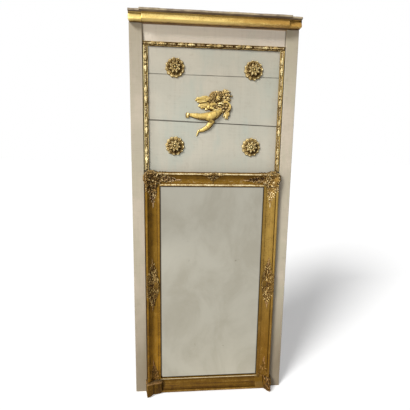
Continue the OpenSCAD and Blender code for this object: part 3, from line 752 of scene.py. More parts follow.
def dulled_gilding():
    return gilt("Dulled gilding", srgb(248, 234, 178), srgb(174, 147, 86), srgb(70, 47, 16),
                srgb(172, 144, 120))


def cast_gilding():
    return gilt("Cast gilding", srgb(232, 212, 160), srgb(148, 114, 54), srgb(52, 32, 10),
                opaque(finishes().bole))


def worn_gilding():
    return gilt("Worn cast gilding", srgb(206, 178, 114), srgb(120, 90, 34), srgb(64, 42, 12),
                srgb(150, 112, 84))


def foot_gilding():
    return gilt("Rubbed cast gilding", srgb(168, 130, 76), srgb(106, 75, 15), srgb(56, 34, 4),
                srgb(142, 98, 68))


# ---------------------------------------------------------------- operators
class Piece:
    """What all the operators share."""

    bl_options = {"REGISTER"}


class TRUMEAU_OT_stage(Piece, bpy.types.Operator):
    """Sets up the floor, the lights and the camera"""

    bl_idname = "trumeau.stage"
    bl_label = "Stage"

    # The window: the lamp's width and height, its place and where it points, in metres
    window_size = 1.6, 1.4
    window_place = (-1.6, -2.4, 1.35)
    window_aim = (0, 0, 1.25)

    # The camera: its focal length and the render's width in pixels, the width of its sensor in
    # millimetres, its turns in degrees, and its place in metres
    focal = 312.0
    render_width = 410.0
    sensor = 36.0
    roll, tilt, pan = 0.88, 8.95, -4.72
    eye = (-0.166, -1.544, 1.284)

    def execute(self, context):
        s = studio()
        mesh = bpy.data.meshes.new("floor")
        reach = 60.0
        mesh.from_pydata([(-reach, -reach, 0), (reach, -reach, 0), (reach, reach, 0), (-reach, reach, 0)],
                         [], [(0, 1, 2, 3)])
        floor = bpy.data.objects.new("floor", mesh)
        context.scene.collection.objects.link(floor)
        mesh.materials.append(self.floor_material())
        self.world(context.scene, s.fill)
        self.sun(context.scene, s)
        self.window(context.scene, s.window)
        self.camera(context.scene)
        context.scene.view_settings.view_transform = "Standard"
        return {"FINISHED"}

    def sun(self, scene, s):
        lamp = bpy.data.lights.new("key", "SUN")
        lamp.energy = s.key
        lamp.angle = s.key_softness
        obj = bpy.data.objects.new("key", lamp)
        scene.collection.objects.link(obj)
        obj.rotation_euler = (math.pi / 2 - s.key_height, 0, -s.key_turn)

    def window(self, scene, power):
        lamp = bpy.data.lights.new("window", "AREA")
        lamp.shape = "RECTANGLE"
        lamp.size, lamp.size_y = self.window_size
        lamp.energy = power
        obj = bpy.data.objects.new("window", lamp)
        scene.collection.objects.link(obj)
        place = Vector(self.window_place)
        obj.location = place
        obj.rotation_euler = (Vector(self.window_aim) - place).to_track_quat("-Z", "Y").to_euler()

    def white_rays(self, t):
        rays = t.node("ShaderNodeLightPath").outputs
        return t.most(rays["Is Camera Ray"], rays["Is Glossy Ray"], rays["Is Transmission Ray"])

    def floor_material(self):
        """Diffuse floor that keeps shadows, lifted to white where it is looked at."""
        material, t, shader = new_material("Pale floor")
        speck = t.noise(t.place(), 3.0, 3.0, 0.5)
        t.feed(shader.inputs["Base Color"], t.mix(speck, (0.96, 0.96, 0.955, 1), (0.98, 0.98, 0.98, 1)))
        shader.inputs["Roughness"].default_value = 0.9
        shader.inputs["Specular IOR Level"].default_value = 0.0
        away = t.node("ShaderNodeVectorMath", {0: t.place()}, operation="LENGTH").outputs["Value"]
        t.feed(shader.inputs["Emission Strength"], t.span(away, 0.9, 3.0, 1.0, 1.19))
        t.feed(shader.inputs["Emission Color"], t.mix(self.white_rays(t), (0, 0, 0, 1), (0.4, 0.4, 0.4, 1)))
        return material

    def world(self, scene, fill):
        world = bpy.data.worlds.new("Studio")
        world.use_nodes = True
        scene.world = world
        t = Tree(world.node_tree)
        background = world.node_tree.nodes["Background"]
        background.inputs["Color"].default_value = (1, 1, 1, 1)
        rays = self.white_rays(t)
        t.feed(background.inputs["Strength"], t.math("ADD", t.math("MULTIPLY", rays, 1.0 - fill), fill))

    def camera(self, scene):
        data = bpy.data.cameras.new("camera")
        data.sensor_width = self.sensor
        data.lens = self.focal / self.render_width * self.sensor
        camera = bpy.data.objects.new("camera", data)
        scene.collection.objects.link(camera)
        turn = Matrix.Identity(3)
        for degrees, axis in ((self.roll, "Z"), (self.tilt, "X"), (self.pan, "Y")):
            turn = turn @ Matrix.Rotation(math.radians(degrees), 3, axis)
        level = Matrix(((1, 0, 0), (0, 0, -1), (0, 1, 0)))
        pose = (Matrix.Diagonal((1, -1, -1)) @ turn @ level).transposed()
        camera.matrix_world = Matrix.Translation(self.eye) @ pose.to_4x4()
        scene.camera = camera


class TRUMEAU_OT_carcase(Piece, bpy.types.Operator):
    """Paints the stiles and the boards"""

    bl_idname = "trumeau.carcase"
    bl_label = "Painted Carcase"

    def execute(self, context):
        f = finishes()

        def stile_painted_shade(t):
            # Painted shade: darker towards the bottom, more on the right stile than the left, darker high up
            # under the cornice, and the left stile a little darker all over
            place = t.xyz()
            low = t.math("MULTIPLY", t.span(place["Z"], 0.0, 0.8, 1.0, 0.0),
                         t.span(place["X"], -0.1, 0.1, 0.76, 1.15))
            high = t.math("ADD", t.span(place["Z"], 1.45, 1.88, 0.0, 0.3),
                          t.span(place["X"], -0.1, 0.1, 0.2, 0.0))
            return t.math("ADD", low, high, clamp=True)

        def board_painted_shade(t):
            # Painted shade: darker high up under the cornice and near the stiles
            place = t.xyz()
            upper = t.span(place["Z"], 1.45, 1.75, 0.0, 0.24)
            side = t.span(t.math("ABSOLUTE", place["X"]), 0.26, 0.32, 0.0, 0.3)
            return t.most(upper, side)

        def frieze_painted_shade(t):
            # Painted shade: darker towards the bottom of the frieze
            return t.span(t.xyz()["Z"], 1.815, 1.852, 0.6, 0.0)

        def seams(t):
            """Dark lines along the edges of the boards, and along the stiles."""
            place = t.xyz()
            upper = box("upper_board")[0].z
            middle = box("middle_board")
            lower = box("lower_board")[1].z
            tilt = (lower - middle[0].z) / (2 * box("upper_board")[1].x)
            slant = t.math("ADD", place["Z"], t.math("MULTIPLY", place["X"], tilt))
            wave = t.span(t.noise(t.place(), 14.0, 3.0, 0.6), 0.3, 0.7, 0.3, 1.0)
            level = t.math("ABSOLUTE", t.math("SUBTRACT", place["Z"], (upper - 1) * MM))
            askew = t.math("ABSOLUTE", t.math("SUBTRACT", slant, ((lower + middle[0].z) / 2 - 2.0) * MM))
            line = t.math("MULTIPLY", t.span(level, 0.001, 0.003, 0.5, 0.0), wave)
            line = t.most(line, t.span(askew, 0.001, 0.0038, 0.85, 0.0))
            return t.most(line, t.span(t.math("ABSOLUTE", place["X"]), 0.3345, 0.3385, 0.0, 0.7))

        stile = painted_wood("Cream paint", opaque(f.stile_paint), srgb(196, 183, 163), srgb(183, 175, 151),
                             srgb(128, 114, 92), (1, 1, 0.06), stile_painted_shade)
        board = painted_wood("Grey-green paint", opaque(f.panel_paint), srgb(190, 184, 167),
                             srgb(176, 178, 164), srgb(142, 128, 108), (0.06, 1, 1), board_painted_shade, seams)
        # The frieze paint is lighter than the boards' paint: painted light against the shadow of the cornice
        frieze = painted_wood("Frieze paint", srgb(231, 221, 205), srgb(233, 222, 206),
                              srgb(227, 220, 203), srgb(174, 160, 142), (0.06, 1, 1), frieze_painted_shade, seams)
        dress(["left_stile", "right_stile"], stile)
        dress(["upper_board", "middle_board", "lower_board"], board)
        dress(["frieze_board"], frieze)
        return {"FINISHED"}


class TRUMEAU_OT_back(Piece, bpy.types.Operator):
    """Finishes the bare wood of the back"""

    bl_idname = "trumeau.back"
    bl_label = "Back"

    def execute(self, context):
        level = bare_wood("Bare wood", (0.06, 1, 1))
        upright = bare_wood("Bare wood upright", (1, 1, 0.06))
        dress([f"back_board_{i}" for i in (1, 2, 3, 4)] + ["top_rail"], level)
        dress(["bottom_batten", "lower_batten", "upper_batten", "top_batten"], level)
        dress(["glass_backing"], upright)
        return {"FINISHED"}


def swept(node, xs, section, material):
    """A closed bar along X. section gives the points (y, z) of its outline at an x."""
    rings = [section(x) for x in xs]
    n = len(rings[0])
    verts = [(x, y, z) for x, ring in zip(xs, rings) for y, z in ring]
    faces = []
    for k in range(len(xs) - 1):
        for i in range(n):
            j = (i + 1) % n
            faces.append((k * n + i, k * n + j, (k + 1) * n + j, (k + 1) * n + i))
    faces.append(tuple(range(n - 1, -1, -1)))
    faces.append(tuple((len(xs) - 1) * n + i for i in range(n)))
    obj = closed_mesh(node, verts, faces, material)
    obj.data.polygons.foreach_set("use_smooth", [len(f) == 4 for f in faces])


class TRUMEAU_OT_cornice(Piece, bpy.types.Operator):
    """Shapes and finishes the worn cornice board and the gilt mouldings under it"""

    bl_idname = "trumeau.cornice"
    bl_label = "Cornice"

    # The breakfront: where it steps back, how far along it does so, and how far the ends stand back
    turn = 349.0
    splay = 3.0
    setback = 12.0
    # The rebate under the front of the board, which takes the tops of the mouldings
    rebate = 3.4
    rebate_w = 24.0

    def execute(self, context):
        self.board()
        self.mouldings()
        return {"FINISHED"}

    def worn(self, x, k, depth):
        """How far an edge is worn back at x."""
        wave = math.sin(x / 31 + k) + 0.7 * math.sin(x / 11.3 + 2.1 * k) + 0.5 * math.sin(x / 5.1 + 3 * k)
        return depth * max(0.0, 0.35 + 0.3 * wave)

    def board(self):
        low, high = box("cornice_board")
        turns = self.turn - self.splay, self.turn
        fronts = low.y, low.y + self.setback
        seat = low.z + self.rebate
        rebate_back = low.y + self.rebate_w

        def section(x):
            front = np.interp(abs(x), turns, fronts) + self.worn(x, 1, 1.2)
            under = seat + self.worn(x, 4, 0.8)
            edge = front + self.worn(x, 2, 3.0)
            top = high.z - 0.3
            return [(high.y, top), (edge + 2.5, top), (edge, top - 1.2 - self.worn(x, 5, 1.0)),
                    (front, under + 2), (front + 1.5, under), (rebate_back, seat), (rebate_back, low.z),
                    (high.y, low.z)]

        stations = np.r_[np.arange(low.x, high.x, 5.0), high.x]
        stations = np.unique(np.r_[stations, turns, np.negative(turns)])

        def grime_and_shade(t):
            # Painted shade on what faces down, under the board, and real grime in blotches from the noise
            under = t.span(t.facing()["Z"], -0.2, -0.6, 0.0, 0.95)
            return t.most(under, t.span(t.noise(t.place(), 40.0, 3.0, 0.6), 0.4, 0.65, 0.05, 0.55))

        paint = painted_wood("Dusty cornice paint", srgb(176, 160, 128), srgb(190, 172, 138),
                             srgb(150, 134, 112), srgb(70, 50, 28), (0.06, 1, 1), grime_and_shade)
        swept("cornice_board", stations, section, paint)

    def mouldings(self):
        f = finishes()
        low, high = box("cornice_centre_moulding")

        def masks(t):
            up = t.span(t.xyz()["Z"], low.z * MM, high.z * MM)
            streak = t.noise(t.stretched(t.place(), (0.12, 1, 1)), 60.0, 4.0, 0.6)
            # Painted shade under the board: the tone falls towards the top of the moulding, over streaks of
            # real tone
            tone_with_board_shade = t.math("ADD", t.span(up, 0.68, 1.0, 0.34, 0.12), t.span(streak, 0.3, 0.62, 0.26, 0.44))
            # Painted light: what faces down is made brighter
            under = t.span(t.facing()["Z"], -0.3, -0.75, 1.0, 1.35)
            # Painted shade at the back, where the moulding meets the boards
            inner = t.span(t.xyz()["Y"], -0.022, 0.002, 1.0, 0.1)
            # Painted light: brighter towards the left end and darker towards the right, as the light falls
            # off from the left
            worn = t.span(t.xyz()["X"], -0.25, 0.36, 1.25, 0.66)
            tone = t.math("MULTIPLY", t.math("MULTIPLY", tone_with_board_shade, under), t.math("MULTIPLY", worn, inner))
            return tone, t.span(streak, 0.6, 0.75, 0, 0.4)

        def gold(t):
            """Browner towards the right end: painted shade, as the light falls off from the left."""
            return t.mix(t.span(t.xyz()["X"], -0.1, 0.4), srgb(206, 168, 88), srgb(178, 136, 66))

        material = gilt("Bright gilding", srgb(252, 224, 140), gold, opaque(f.patina), opaque(f.bole), masks)
        height = high.z - low.z
        # Outline of the moulding: how far behind its front, and how far up
        nose = ((4, 0.0), (1.5, 0.03), (0.3, 0.08), (0, 0.14), (1.2, 0.28), (2.8, 0.42), (4.5, 0.56),
                (6.4, 0.7), (7.6, 0.82), (8.4, 0.93), (8.8, 1.0))
        lip_back = low.y + 15.8
        for node in ("cornice_centre_moulding", "cornice_left_moulding", "cornice_right_moulding"):
            start, end = box(node)

            def section(x):
                wear = self.worn(x, 3, 0.8)
                top = height + self.rebate - 0.2
                front = [(start.y + b + wear, low.z + u * top) for b, u in nose]
                lip = [(lip_back, low.z + top), (lip_back, high.z)]
                return [(end.y, low.z)] + front + lip + [(end.y, high.z)]

            stations = np.r_[np.arange(start.x, end.x, 6.0), end.x]
            swept(node, stations, section, material)


class TRUMEAU_OT_mirror_frame(Piece, bpy.types.Operator):
    """Gilds the rails of the mirror frame"""

    bl_idname = "trumeau.mirror_frame"
    bl_label = "Mirror Frame"

    def inward(self, t):
        """Distance in from the outer edge of the frame, as a share of the rail's width."""
        place = t.xyz()
        side = t.math("SUBTRACT", FRAME_HALF * MM, t.math("ABSOLUTE", place["X"]))
        low = t.math("SUBTRACT", place["Z"], FRAME_LOW * MM)
        high = t.math("SUBTRACT", FRAME_HIGH * MM, place["Z"])
        u = t.math("MINIMUM", side, t.math("MINIMUM", low, high))
        return t.math("DIVIDE", u, RAIL_W * MM)

    def rails(self, t, at):
        """Where the left, the right and the bottom rail are: 1 on them, 0 elsewhere."""
        return (t.span(at["X"], -0.262, -0.268), t.span(at["X"], 0.262, 0.268),
                t.span(at["Z"], 0.076, 0.072))

    def masks(self, t):
        u = self.inward(t)
        place = t.place()
        at = t.xyz(place)
        left, right, low = self.rails(t, at)
        side = t.most(left, right)
        upright = t.noise(t.stretched(place, (1, 1, 0.02)), 110.0, 4.0, 0.6)
        level = t.noise(t.stretched(place, (0.02, 1, 1)), 110.0, 4.0, 0.6)
        streak = t.math("ADD", t.math("MULTIPLY", side, upright),
                        t.math("MULTIPLY", t.math("SUBTRACT", 1.0, side), level))
        tone = t.span(streak, 0.3, 0.7, 0.42, 0.53)
        tone = t.math("ADD", tone, t.math("MULTIPLY", low, t.span(streak, 0.35, 0.65, -0.2, 0.12)))
        # Along each rail, painted shade: dark lines in the quirks and where the cove meets the sight bead, a
        # darker outer edge, a dark line beside the glass on the bottom rail, and a brown hollow that is only
        # faint on the right rail; a clearer slope towards the glass
        quirk = t.band(u, 0.175, 0.2, 0.22, 0.26, 0.3)
        seat = t.math("MULTIPLY", t.band(u, 0.77, 0.795, 0.81, 0.84, 0.3), t.span(low, 0.0, 1.0, 1.0, 1.6))
        rim = t.math("MULTIPLY", low, t.span(u, 0.965, 0.98, 0.0, 0.5))
        rim = t.most(t.span(u, 0.0, 0.06, 0.35, 0.0), rim)
        hollow = t.math("MULTIPLY", t.band(u, 0.2, 0.28, 0.4, 0.6, 0.14), t.span(right, 0.0, 1.0, 1.0, 0.2))
        tone = t.math("SUBTRACT", tone, t.most(quirk, seat, rim, hollow))
        # Painted highlights on the beads: both clear on the top rail and faint on the side rails, and a thin
        # bright line along the bottom rail, beside the glass
        bead = t.band(u, 0.84, 0.88, 0.93, 0.98, 0.3)
        bead = t.math("MULTIPLY", bead, t.span(side, 0.0, 1.0, 1.0, 0.12))
        bead = t.math("MULTIPLY", bead, t.span(low, 0.0, 1.0, 1.0, 0.0))
        bead = t.most(bead, t.math("MULTIPLY", low, t.band(u, 0.9, 0.93, 0.97, 1.0, 0.85)))
        outer = t.band(u, 0.04, 0.1, 0.13, 0.18, 0.33)
        outer = t.math("MULTIPLY", outer, t.span(t.math("ADD", side, low), 0.0, 1.0, 1.0, 0.2))
        tone = t.math("ADD", tone, t.most(bead, outer))
        # Low on the left rail the beads are darker
        dull = t.math("MULTIPLY", left, t.span(at["Z"], 0.75, 0.2))
        beads = t.most(t.band(u, 0.01, 0.04, 0.15, 0.2, 0.36), t.band(u, 0.78, 0.84, 0.95, 1.0, 0.28))
        tone = t.math("SUBTRACT", tone, t.math("MULTIPLY", dull, beads))
        tone = t.math("ADD", tone, t.math("MULTIPLY", left, t.span(at["Z"], 0.1, 0.7, 0.06, 0.0)), clamp=True)
        return tone, t.span(streak, 0.56, 0.7, 0, 0.4)

    def bright(self, t):
        """Pale on the top rail and on the bead under the glass, as painted highlights, gold elsewhere."""
        left, right, low = self.rails(t, t.xyz())
        low = t.math("MULTIPLY", low, t.span(self.inward(t), 0.9, 0.86))
        return t.mix(t.most(left, right, low), srgb(254, 238, 192), srgb(186, 150, 84))

    def gold(self, t):
        """The right rail is palest high up, the bottom rail is the brownest."""
        at = t.xyz()
        left, right, low = self.rails(t, at)
        left = t.math("MULTIPLY", left, t.span(at["Z"], 0.7, 0.15))
        colour = t.mix(left, opaque(finishes().frame_gold), srgb(148, 106, 22))
        faded = t.mix(t.span(at["Z"], 0.2, 0.9), srgb(114, 80, 18), srgb(150, 120, 56))
        colour = t.mix(right, colour, faded)
        return t.mix(low, colour, srgb(104, 74, 18))

    def execute(self, context):
        material = gilt("Frame gilding", self.bright, self.gold, srgb(70, 44, 10),
                        srgb(128, 86, 44), self.masks, 0.0)
        dress(["frame_top_rail", "frame_bottom_rail", "frame_left_rail", "frame_right_rail"], material)
        return {"FINISHED"}


class TRUMEAU_OT_glass(Piece, bpy.types.Operator):
    """Silvers the old mirror glass"""

    bl_idname = "trumeau.glass"
    bl_label = "Mirror Glass"

    def execute(self, context):
        material, t, shader = new_material("Old mirror glass")
        place = t.place()
        at = t.xyz(place)
        side = t.math("SUBTRACT", (FRAME_HALF - RAIL_W) * MM, t.math("ABSOLUTE", at["X"]))
        low = t.math("SUBTRACT", at["Z"], (FRAME_LOW + RAIL_W) * MM)
        high = t.math("SUBTRACT", (FRAME_HIGH - RAIL_W) * MM, at["Z"])
        edge = t.math("MINIMUM", side, t.math("MINIMUM", low, high))
        haze = t.noise(t.stretched(place, (1, 1, 0.7)), 5.0, 5.0, 0.6, 0.5)
        spots = t.noise(place, 34.0, 5.0, 0.62, 0.4)
        specks = t.noise(place, 220.0, 3.0, 0.6)
        rim = t.math("ADD", t.span(edge, 0.0, 0.012, 0.1, 0.0), spots)
        foxed = t.most(t.span(rim, 0.68, 0.8, 0, 0.5), t.span(specks, 0.72, 0.8, 0, 0.35))
        silver = t.mix(t.span(haze, 0.36, 0.68), opaque(finishes().glass), srgb(164, 159, 144))
        # Painted shadow of the frame: a dark line along the edges of the glass
        silver = t.mix(t.span(edge, 0.003, 0.008, 0.95, 0.0), silver, srgb(48, 38, 24))
        t.feed(shader.inputs["Base Color"], t.mix(foxed, silver, srgb(96, 88, 76)))
        shader.inputs["Metallic"].default_value = 1.0
        t.feed(shader.inputs["Roughness"], t.math("ADD", t.span(haze, 0.3, 0.7, 0.03, 0.1),
                                                  t.math("MULTIPLY", foxed, 0.35)))
        bump(t, shader, t.noise(place, 5.0, 2.0, 0.5), 0.0004, 0.25)
        dress(["mirror_glass"], material)
        return {"FINISHED"}


class TRUMEAU_OT_fasteners(Piece, bpy.types.Operator):
    """Darkens the screws and nails"""

    bl_idname = "trumeau.fasteners"
    bl_label = "Screws and Nails"

    def execute(self, context):
        material, t, shader = new_material("Old iron")
        rust = t.noise(t.place(), 300.0, 4.0, 0.65)
        colour = t.mix(t.span(rust, 0.42, 0.62), srgb(62, 58, 54), srgb(104, 66, 40))
        t.feed(shader.inputs["Base Color"], colour)
        t.feed(shader.inputs["Metallic"], t.span(rust, 0.4, 0.6, 0.9, 0.15))
        t.feed(shader.inputs["Roughness"], t.span(rust, 0.3, 0.7, 0.45, 0.85))
        bump(t, shader, rust, 0.0003)
        dress(["batten_screws", "batten_nails", "frame_screws", "cornice_nails"], material)
        return {"FINISHED"}


class TRUMEAU_OT_border(Piece, bpy.types.Operator):
    """Carves the three strips of the border"""

    bl_idname = "trumeau.border"
    bl_label = "Carved Border"

    # Width of a strip, and how much higher than its solid the top strip sits, on the ends of the others
    width = 22.0
    raised = 4.0

    def section(self, w):
        """Height of the plain strip: a fillet outside, a hollow, and a low lip inside."""
        fillet = np.where(w < 3.4, 15.0 - 0.9 * (w - 1.7) ** 2 / 1.7, 0)
        hollow = 13.5 - 9.5 * np.sin(np.clip((w - 3.0) / 15.0, 0, 1) * np.pi / 2)
        lip = np.where(w > 18.2, 6.6 - 0.6 * (w - 20.2) ** 2, 0)
        return np.maximum(np.maximum(fillet, hollow), lip)

    def strip(self, node, low, high, level, side, rng):
        r = Relief(low, high, sizes().step / MM, board_ground)
        w = r.z - low[1] if level else r.x - low[0]
        if side > 0:
            w = self.width - w
        # Painted light: the ground of the top strip is darker than that of the upright strips
        r.ink(0.1 if level else 0.24)
        r.lay(r.all, self.section(w), np.minimum(w, self.width - w) + 0.6)
        # Painted light on the outer fillet, which is made lighter than the ground
        r.tone[w < 3.4] = 0.4
        length = (high[0] - low[0]) if level else (high[1] - low[1])
        pitch = sizes().leaf_pitch / MM
        count = round(length / pitch)
        pitch = length / count

        def at(l, across):
            across = self.width - across if side > 0 else across
            return (low[0] + l, low[1] + across) if level else (low[0] + across, low[1] + l)

        for k in range(count):
            middle = (k + 0.5) * pitch + rng.uniform(-3, 3)
            for way in (-1, 1):
                self.bud(r, at, middle + way * (26 + rng.uniform(-2, 2)), way, rng)
            r.ink(0.45, 0.3)
            flower(r, at(middle, 11), 7.0, 5, 7.0, 5.5, rng.uniform(0, 1))
            for lean in (-1, 1):
                r.ink(0.5, 0.5)
                dome(r, at(middle + rng.uniform(-1, 1), 11 + 5.5 * lean), 2.4, 2.4, 5, 6)
        for k in range(count + 1):
            middle = np.clip(k * pitch + rng.uniform(-3, 3), 8, length - 8)
            for j in range(-2, 3):
                if 5 < middle + 7 * j < length - 5:
                    r.ink(rng.uniform(0.3, 0.7), 0.8)
                    leaf(r, [at(middle + 7 * j - 3, 6), at(middle + 7 * j, 11), at(middle + 7 * j + 4, 16)],
                         2.6, 5, 6, 0, 0, 0.8)
        r.ink(0.3, 0.3)
        beads = int(length // 6)
        for k in range(beads):
            dome(r, at((k + 0.5) * length / beads, 20.0), 2.3, 2.3, 2.6, 5.2)
        # Painted light: the top strip darker, the left strip much lighter and the right strip a little
        # lighter
        r.tone += -0.06 if level else 0.16 if side < 0 else 0.03
        carved(node, r, dulled_gilding())

    def bud(self, r, at, middle, way, rng):
        """A long bright leaf, folded along its middle, with a curled root."""
        half = 19 * rng.uniform(0.85, 1.1)
        root, tip = middle - way * half * 0.9, middle + way * half
        r.ink(rng.uniform(0.5, 0.8), 0.25)
        leaf(r, [at(root, 12), at(middle, 12.6), at(tip, 11.4)], 6.2, 7.0, 9.5, 5, 0.2, 3.2)
        for k in range(4):
            l = middle + way * (k - 1.5) * 0.45 * half
            groove(r, [at(l, 7.5), at(l + way * 3, 12), at(l + way * 2, 17)], 0.8, 1.4, 0.2)
        r.ink(0.45, 0.5)
        leaf(r, [at(root, 10), at(middle - way * 6, 6.8), at(middle + way * 7, 6.4)], 3.0, 5.5, 8, 0, 0, 1.0)
        leaf(r, [at(root, 14), at(middle - way * 6, 17.2), at(middle + way * 8, 17.8)], 2.6, 5, 6, 0, 0, 1.0)

    def execute(self, context):
        rng = hand(0)
        strips = (("border_top", True, 1), ("border_left", False, -1), ("border_right", False, 1))
        for node, level, side in strips:
            start, end = box(node)
            low, high = [start.x, start.z], [end.x, end.z + self.raised]
            if level:
                low[1] += self.raised
            else:
                high[1] -= self.width
            self.strip(node, low, high, level, side, rng)
        return {"FINISHED"}


class TRUMEAU_OT_rosettes(Piece, bpy.types.Operator):
    """Carves the four rosettes"""

    bl_idname = "trumeau.rosettes"
    bl_label = "Rosettes"

    # How far the carved field reaches past the solid
    rim = 3.5

    def execute(self, context):
        rng = hand(1)
        for place in ("upper_left", "upper_right", "lower_left", "lower_right"):
            node = "rosette_" + place
            low, high = box(node)
            centre = np.array(((low.x + high.x) / 2, (low.z + high.z) / 2))
            radius = (high.x - low.x) / 2 + self.rim
            r = Relief(centre - radius, centre + radius, 0.85 * sizes().step / MM, board_ground)
            self.rosette(r, centre, radius - 0.4, rng)
            carved(node, r, dulled_gilding())
        return {"FINISHED"}

    def rosette(self, r, centre, radius, rng):
        turn = rng.uniform(0, 0.5)
        dist = np.hypot(r.x - centre[0], r.z - centre[1])

        def spot(reach, angle):
            return centre + radius * reach * np.array((math.cos(angle), math.sin(angle)))

        r.ink(0.04)
        r.lay(r.all, 3.0 + 3.0 * (dist / radius) ** 3, 0.9 * radius - dist)
        outer = sizes().outer_petals
        for k in range(outer):
            a = turn + 2 * math.pi * k / outer + rng.uniform(-0.03, 0.03)
            r.ink(0.3 + rng.uniform(-0.05, 0.1), 0.3)
            leaf(r, [spot(0.5, a), spot(0.76, a), spot(0.98, a)], 0.31 * radius, 6.5, 3.0, 0, 0, 2.5)
            r.ink(rng.uniform(0.6, 1.0), 0.2)
            dome(r, spot(rng.uniform(0.82, 0.9), a + rng.uniform(-0.08, 0.08)), 0.09 * radius, 0.06 * radius,
                 4.0, 7.0, a + 1.57)
        for k in range(outer):
            a = turn + 2 * math.pi * (k + 0.5) / outer
            pit(r, spot(0.66, a), rng.uniform(0.04, 0.07) * radius, 3.5)
            groove(r, [spot(0.7, a), spot(0.85, a), spot(0.98, a)], 0.8, 2.0, 0.16)
        inner = sizes().inner_petals
        r.ink(0.16)
        r.lay(r.all, np.full(r.x.shape, 12.0), 0.48 * radius - dist)
        for k in range(inner):
            a = turn + 2 * math.pi * (k + 0.25) / inner
            r.ink(0.36, 0.3)
            leaf(r, [spot(0.12, a), spot(0.38, a), spot(0.62, a)], 0.17 * radius, 9.0, 14.0, 0, 0, 3.5)
            r.ink(rng.uniform(0.75, 1.0), 0.1)
            dome(r, spot(0.5, a), 0.06 * radius, 0.055 * radius, 4.0, 21.0, a)
        for k in range(inner):
            a = turn + 2 * math.pi * (k + 0.75) / inner
            pit(r, spot(0.36, a), 0.045 * radius, 5.0)
            r.ink(0.5)
            leaf(r, [spot(0.05, a), spot(0.18, a), spot(0.3, a)], 0.07 * radius, 4.0, 21.0, 0, 0, 1.0)
        r.cut(r.all, 6.0 * np.exp(-(((dist - 0.15 * radius) / (0.04 * radius)) ** 2)), 0.1)
        r.ink(0.45)
        dome(r, centre, 0.1 * radius, 0.1 * radius, 4.0, 20.5)
        # Painted shadow of the inner flower, thickest in the hollow between the two rings, low on the right
        flower_shadow_side = np.clip((r.x - centre[0] - r.z + centre[1]) / np.maximum(dist, 1), 0, 2)
        r.tone -= 0.34 * flower_shadow_side * np.exp(-(((dist - 0.64 * radius) / (0.1 * radius)) ** 2))


